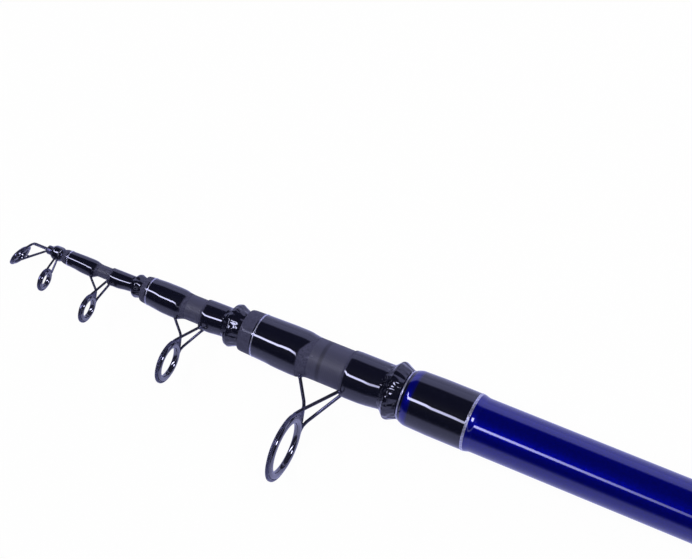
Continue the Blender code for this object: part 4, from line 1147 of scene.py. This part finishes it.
def filled_collar(section, sides, edge):
    """A stop collar: crisp ridges, and epoxy that fills its foot and runs on to the wrap before it."""
    node = f"{section}_collar"
    profile, _ = meridian(node, Matrix.Identity(4))
    wrap = WrapShape(f"{section}_rear_wrap")
    tube = Outline(f"{section}_blank")
    outer = sorted((x, radius) for x, radius in profile if radius > tube(x) + 2 * GLUE_SINK)
    shift = RIDGE_SHIFTS[section]
    outer[1:-1] = [(x - shift, radius) for x, radius in outer[1:-1]]
    (foot, foot_radius), (step, step_radius) = outer[:2]
    waist, swell = foot - WAIST_LENGTH, foot - WAIST_SWELL_PLACE * WAIST_LENGTH
    ring = [
        (waist, wrap.at(waist)[0] - WAIST_DIP),
        (swell, max(foot_radius, wrap.at(swell)[0]) + WAIST_SWELL),
    ]
    for run, climb in FOOT_FILL:
        ring.append((foot + run * (step - foot), foot_radius + climb * (step_radius - foot_radius)))
    peak = max(outer, key=lambda point: point[1])[0]
    for x, radius in outer[1:]:
        ring.append((x, radius - smooth_share(x, peak + WORN_FROM, peak + WORN_FULL) * WORN[section]))
    lip = ring[-1][0]
    bore = tube(lip) - GLUE_SINK
    ring += [(lip, bore), (waist, bore)]
    work = revolved(eased(ring, True, edge, CREASE_REACH), True, sides)
    return finished(f"{node}_filled", work, node)


# Operators


class ROD_OT_tubes(bpy.types.Operator):
    """Make the butt tube, the blanks of sections 2 to 4 and the tip blank"""

    bl_idname = "rod.tubes"
    bl_label = "Tubes"

    def execute(self, context):
        sizes = context.scene.rod_sizes
        turned_again("butt_blank", sizes.sides, sizes.edge)
        for section in SECTIONS:
            turned_again(f"{section}_blank", sizes.small_sides, 2 * sizes.edge)
        turned_again("tip_blank", sizes.small_sides // 2, sizes.edge, Matrix.Rotation(TIP_ROLL, 4, "X"))
        return {"FINISHED"}


class ROD_OT_collars(bpy.types.Operator):
    """Make the stop collars, which rest on the lip behind them when the rod is closed"""

    bl_idname = "rod.collars"
    bl_label = "Stop collars"

    def execute(self, context):
        sizes = context.scene.rod_sizes
        for section in SECTIONS:
            filled_collar(section, sizes.sides, sizes.edge)
        return {"FINISHED"}


class ROD_OT_wraps(bpy.types.Operator):
    """Make the thread wraps, raised where they cover the guides' feet"""

    bl_idname = "rod.wraps"
    bl_label = "Thread wraps"

    def execute(self, context):
        sizes = context.scene.rod_sizes
        wound_butt(sizes.sides)
        for section in SECTIONS:
            for part in ("rear", "front"):
                wound_wrap(section, part, sizes.sides)
        turned_again("floating_guide_winding", sizes.small_sides, sizes.edge, sink=GLUE_SINK)
        return {"FINISHED"}


class ROD_OT_thread_rings(bpy.types.Operator):
    """Lay the silver thread rings"""

    bl_idname = "rod.thread_rings"
    bl_label = "Silver thread rings"

    def execute(self, context):
        sizes = context.scene.rod_sizes
        for node in ["butt_lip_trim", "butt_wrap_trim"] + [f"{section}_trim" for section in SECTIONS]:
            thread_ring(node, sizes.thread, sizes.sides)
        return {"FINISHED"}


class ROD_OT_guides(bpy.types.Operator):
    """Make the guide frames and their ceramic rings"""

    bl_idname = "rod.guides"
    bl_label = "Line guides"

    def execute(self, context):
        sizes = context.scene.rod_sizes
        for guide, wire in GUIDE_WIRES.items():
            brazed(guide, wire, sizes.voxels_per_wire, sizes.small_sides, sizes.edge)
            bead(f"{guide}_ring", sizes.small_sides, guide_place(guide))
        return {"FINISHED"}


class ROD_OT_grips(bpy.types.Operator):
    """Make the foam grips and their trim rings"""

    bl_idname = "rod.grips"
    bl_label = "Grips"

    def execute(self, context):
        sizes = context.scene.rod_sizes
        for node in ("rear_grip", "fore_grip", "rear_grip_ring", "fore_grip_ring", "reel_seat_ring"):
            turned_again(node, sizes.sides, sizes.edge)
        return {"FINISHED"}


class ROD_OT_reel_seat(bpy.types.Operator):
    """Make the reel seat with its thread, bushings, hood and lock nut"""

    bl_idname = "rod.reel_seat"
    bl_label = "Reel seat"

    def execute(self, context):
        sizes = context.scene.rod_sizes
        for node in ("reel_seat_rear_bushing", "reel_seat_front_bushing"):
            turned_again(node, sizes.sides, sizes.edge)
        for node in ("reel_seat", "sliding_hood", "lock_nut"):
            moulded(node)
        row = Row(
            SEAT_THREAD_TURNS,
            -SEAT_THREAD_PITCH,
            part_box("reel_seat")[1].x - SEAT_THREAD_START,
            SEAT_BARREL_RADIUS + SEAT_THREAD_HEIGHT - SEAT_THREAD_RADIUS,
            SEAT_THREAD_RADIUS,
            sizes.sides,
        )
        laid_turns("reel_seat_thread", row, "reel_seat", added=True)
        return {"FINISHED"}


class ROD_OT_butt_end(bpy.types.Operator):
    """Make the threaded bush, the screw-off cap with its bumper and the cushion"""

    bl_idname = "rod.butt_end"
    bl_label = "Butt end"

    def execute(self, context):
        sizes = context.scene.rod_sizes
        for node in ("butt_bush", "butt_cap", "butt_bumper"):
            turned_again(node, sizes.sides, sizes.edge)
        cushion = turned_again("butt_cushion", sizes.small_sides, CUSHION_EDGE)
        return {"FINISHED"}


class ROD_OT_stage(bpy.types.Operator):
    """Set the pale floor, the studio light and the camera"""

    bl_idname = "rod.stage"
    bl_label = "Studio"

    def execute(self, context):
        scene = context.scene
        make_floor()
        make_world(scene)
        make_lamp(scene)
        make_camera(scene)
        scene.view_settings.view_transform = "Standard"
        return {"FINISHED"}


# Studio

# White paper, as bright to the camera as this share of white. Gloss mirrors it at one level near the rod and
# at another far past its ends.
FLOOR_SIZE = 14.0
FLOOR_GLOW = 0.97
FLOOR_MIRRORED = 0.68
FLOOR_DIMMED = 0.06
FLOOR_BRIGHT_REACH = 0.7
FLOOR_DIM_REACH = 1.6

# Colour of the studio as gloss mirrors it
GLOSS_TINT = (0.84, 0.86, 1.5)

# A direction of the studio is told by its slopes off the way up to the eye: one aside, away from the guides,
# and one lengthwise, towards the butt.

# A dark card overhead ends between these slopes aside
CARD_FAR = (math.tan(math.radians(68)), math.tan(math.radians(78)))
CARD_NEAR = (-math.tan(math.radians(76)), -math.tan(math.radians(56)))
CARD_LEVEL = 0.015

# Pale walls stand on the guides' side, which is near, and on the far side
WALL_RAMP = (-0.4, 0.4)
NEAR_LEVEL = 0.72
FAR_LEVEL = 0.9

# It is dark past the rod's ends, by how much further lengthwise than aside a direction goes
END_RAMP = (1.2, 2.6)
END_LEVEL = 0.1

# A bright strip runs slantwise over the card. Towards the tip it is set off aside, gets brighter, and ends.
STRIP_TINT = (0.86, 0.87, 1.26)
STRIP_PLACE = -0.42
STRIP_SLANT = 0.88
STRIP_BEND = (-0.42, -0.33)
STRIP_SET_OFF = 0.1
STRIP_HALF_WIDTHS = (0.06, 0.11)
STRIP_FADE = (-0.38, 0.0)
STRIP_LEVELS = (17.0, 1.0)
STRIP_END = (-0.92, -0.7)

# A small bright spot lies beyond the strip, towards the butt, from its start to its end
SPOT_PLACE = 0.15
SPOT_HALF_WIDTHS = (0.08, 0.16)
SPOT_START = (0.3, 0.36)
SPOT_END = (0.7, 0.8)
SPOT_LEVEL = 16.0

# A broad lamp, placed from the butt's lip
KEY_PLACE = Vector((0.3, 0.9, 1.3))
KEY_SIZE = 1.6
KEY_RADIANCE = 0.9

# Slopes are divided by at least this
LEAST_LENGTH = 0.001


def make_floor():
    """Matte white paper. It shows white of itself and keeps a soft shadow."""
    work = bmesh.new()
    bmesh.ops.create_grid(work, x_segments=1, y_segments=1, size=FLOOR_SIZE / 2)
    low, high = CAD_BOX
    middle = (low.x + high.x) / 2
    bmesh.ops.transform(work, matrix=Matrix.Translation((middle, 0, low.z)), verts=work.verts)
    floor = placed("studio_floor", work)
    material = bpy.data.materials.new("White paper")
    material.use_nodes = True
    tree = material.node_tree
    tree.nodes.remove(tree.nodes["Principled BSDF"])
    paper = add(tree, "ShaderNodeBsdfDiffuse", {"Color": colour("F4F4F4")})
    white = add(tree, "ShaderNodeEmission", {"Strength": 1.0})
    away = add(tree, "ShaderNodeMath", (coordinate(tree), middle), operation="SUBTRACT")
    away = add(tree, "ShaderNodeMath", (away,), operation="ABSOLUTE")
    reach = (FLOOR_BRIGHT_REACH, FLOOR_DIM_REACH)
    level = add(tree, "ShaderNodeMapRange", (away, *reach, FLOOR_MIRRORED, FLOOR_DIMMED), **SMOOTH)
    mirrored = add(tree, "ShaderNodeEmission", {"Color": GLOSS_TINT, "Strength": level})
    to_camera = add(tree, "ShaderNodeLightPath", out="Is Camera Ray")
    to_gloss = add(tree, "ShaderNodeLightPath", out="Is Glossy Ray")
    glow = add(tree, "ShaderNodeMath", (to_camera, FLOOR_GLOW), operation="MULTIPLY")
    seen = add(tree, "ShaderNodeMixShader", (glow, paper, white))
    both = add(tree, "ShaderNodeMixShader", (to_gloss, seen, mirrored))
    tree.links.new(both, tree.nodes["Material Output"].inputs["Surface"])
    floor.data.materials.append(material)


def card_light(tree, off_middle, half_widths, lengthwise, *ramps):
    """A light on the card: full at its middle, out past the second half width, and shaped lengthwise."""
    off_middle = add(tree, "ShaderNodeMath", (off_middle,), operation="ABSOLUTE")
    level = add(tree, "ShaderNodeMapRange", (off_middle, *half_widths, 1.0, 0.0), **SMOOTH)
    for ramp in ramps:
        times = add(tree, "ShaderNodeMapRange", (lengthwise, *ramp), **SMOOTH)
        level = add(tree, "ShaderNodeMath", (level, times), operation="MULTIPLY")
    return level


def make_world(scene):
    """White to the camera. All else meets pale walls, dark ends, and a dark card overhead with its lights."""
    world = bpy.data.worlds.new("Studio")
    world.use_nodes = True
    scene.world = world
    tree = world.node_tree

    direction = add(tree, "ShaderNodeTexCoord", out="Generated")
    upward, sideways, endways = (
        add(tree, "ShaderNodeVectorMath", (direction, axis), "Value", operation="DOT_PRODUCT")
        for axis in (TO_EYE, ASIDE, (1, 0, 0))
    )
    upward = add(tree, "ShaderNodeMath", (upward, LEAST_LENGTH), operation="MAXIMUM")
    aside = add(tree, "ShaderNodeMath", (sideways, upward), operation="DIVIDE")
    lengthwise = add(tree, "ShaderNodeMath", (endways, upward), operation="DIVIDE")

    walls = add(tree, "ShaderNodeMapRange", (aside, *WALL_RAMP, NEAR_LEVEL, FAR_LEVEL), **SMOOTH)
    endways = add(tree, "ShaderNodeMath", (endways,), operation="ABSOLUTE")
    sideways = add(tree, "ShaderNodeMath", (sideways,), operation="ABSOLUTE")
    sideways = add(tree, "ShaderNodeMath", (sideways, LEAST_LENGTH), operation="ADD")
    further = add(tree, "ShaderNodeMath", (endways, sideways), operation="DIVIDE")
    ends = add(tree, "ShaderNodeMapRange", (further, *END_RAMP), **SMOOTH)
    level = add(tree, "ShaderNodeMix", {0: ends, 2: walls, 3: END_LEVEL}, data_type="FLOAT")

    far_edge = add(tree, "ShaderNodeMapRange", (aside, *CARD_FAR, 1.0, 0.0), **SMOOTH)
    near_edge = add(tree, "ShaderNodeMapRange", (aside, *CARD_NEAR), **SMOOTH)
    card = add(tree, "ShaderNodeMath", (far_edge, near_edge), operation="MULTIPLY")
    level = add(tree, "ShaderNodeMix", {0: card, 2: level, 3: CARD_LEVEL}, data_type="FLOAT")

    off_strip = add(tree, "ShaderNodeMath", (lengthwise, STRIP_SLANT), operation="MULTIPLY")
    off_strip = add(tree, "ShaderNodeMath", (aside, off_strip), operation="ADD")
    off_strip = add(tree, "ShaderNodeMath", (off_strip, STRIP_PLACE), operation="SUBTRACT")
    set_off = add(tree, "ShaderNodeMapRange", (lengthwise, *STRIP_BEND, STRIP_SET_OFF, 0.0), **SMOOTH)
    off_strip = add(tree, "ShaderNodeMath", (off_strip, set_off), operation="ADD")
    along_strip = ((*STRIP_FADE, *STRIP_LEVELS), STRIP_END)
    strip = card_light(tree, off_strip, STRIP_HALF_WIDTHS, lengthwise, *along_strip)
    off_spot = add(tree, "ShaderNodeMath", (aside, SPOT_PLACE), operation="SUBTRACT")
    along_spot = ((*SPOT_START, 0.0, SPOT_LEVEL), (*SPOT_END, 1.0, 0.0))
    spot = card_light(tree, off_spot, SPOT_HALF_WIDTHS, lengthwise, *along_spot)
    light = add(tree, "ShaderNodeMath", (strip, spot), operation="MAXIMUM")
    level = add(tree, "ShaderNodeMath", (level, light), operation="ADD")

    to_gloss = add(tree, "ShaderNodeLightPath", out="Is Glossy Ray")
    to_camera = add(tree, "ShaderNodeLightPath", out="Is Camera Ray")
    tint = add(tree, "ShaderNodeMix", {0: light, 6: GLOSS_TINT, 7: STRIP_TINT}, 2, data_type="RGBA")
    tint = add(tree, "ShaderNodeMix", {0: to_gloss, 6: (1, 1, 1), 7: tint}, 2, data_type="RGBA")
    level = add(tree, "ShaderNodeMath", (level, to_camera), operation="MAXIMUM")
    background = tree.nodes["Background"]
    tree.links.new(tint, background.inputs["Color"])
    tree.links.new(level, background.inputs["Strength"])


def make_lamp(scene):
    """A broad soft key."""
    light = bpy.data.lights.new("key", "AREA")
    light.size = KEY_SIZE
    light.energy = KEY_RADIANCE * math.pi * KEY_SIZE**2
    lamp = bpy.data.objects.new("key", light)
    scene.collection.objects.link(lamp)
    lamp.location = Vector((LIP_X, 0, 0)) + KEY_PLACE
    lamp.rotation_mode = "QUATERNION"
    lamp.rotation_quaternion = (-KEY_PLACE).to_track_quat("-Z", "Y")
    lamp.visible_glossy = False


def make_camera(scene):
    """Looks down on the rod from beside the butt's lip, swung towards the tip and rolled."""
    to_tip = Vector((-1, 0, 0))
    level_ahead = to_tip * math.sin(SWING) - TO_EYE * math.cos(SWING)
    level_right = -(to_tip * math.cos(SWING) + TO_EYE * math.sin(SWING))
    forward = level_ahead * math.cos(TILT) + ASIDE * math.sin(TILT)
    unrolled_down = level_ahead * math.sin(TILT) - ASIDE * math.cos(TILT)
    right = level_right * math.cos(ROLL) - unrolled_down * math.sin(ROLL)
    down = level_right * math.sin(ROLL) + unrolled_down * math.cos(ROLL)
    data = bpy.data.cameras.new("camera")
    data.sensor_fit = "HORIZONTAL"
    data.sensor_width = SENSOR_WIDTH
    data.lens = FOCAL_PIXELS / IMAGE_WIDTH * SENSOR_WIDTH
    camera = bpy.data.objects.new("camera", data)
    scene.collection.objects.link(camera)
    matrix = Matrix((right, -down, -forward)).transposed().to_4x4()
    matrix.translation = Vector((LIP_X + EYE_BEHIND, 0, 0)) + TO_EYE * EYE_DISTANCE
    camera.matrix_world = matrix
    scene.camera = camera


class ROD_PT_panel(bpy.types.Panel):
    """Lists the rod's pieces in the order they are made"""

    bl_label = "Surf Rod"
    bl_idname = "ROD_PT_panel"
    bl_space_type = "VIEW_3D"
    bl_region_type = "UI"
    bl_category = "Surf Rod"

    def draw(self, context):
        column = self.layout.column()
        for group in (context.scene.rod_sizes, context.scene.rod_colours):
            for name in group.__annotations__:
                column.prop(group, name)
        for step in STEPS:
            column.operator(step.bl_idname)


STEPS = (
    ROD_OT_tubes,
    ROD_OT_collars,
    ROD_OT_wraps,
    ROD_OT_thread_rings,
    ROD_OT_guides,
    ROD_OT_grips,
    ROD_OT_reel_seat,
    ROD_OT_butt_end,
    ROD_OT_stage,
)
CLASSES = (RodSizes, RodColours, *STEPS, ROD_PT_panel)


def register():
    for kind in CLASSES:
        bpy.utils.register_class(kind)
    bpy.types.Scene.rod_sizes = PointerProperty(type=RodSizes)
    bpy.types.Scene.rod_colours = PointerProperty(type=RodColours)


def unregister():
    del bpy.types.Scene.rod_colours
    del bpy.types.Scene.rod_sizes
    for kind in reversed(CLASSES):
        bpy.utils.unregister_class(kind)


def main():
    register()
    make_looks(bpy.context.scene.rod_colours)
    for step in STEPS:
        group, name = step.bl_idname.split(".")
        getattr(getattr(bpy.ops, group), name)()


if __name__ == "__main__":
    main()
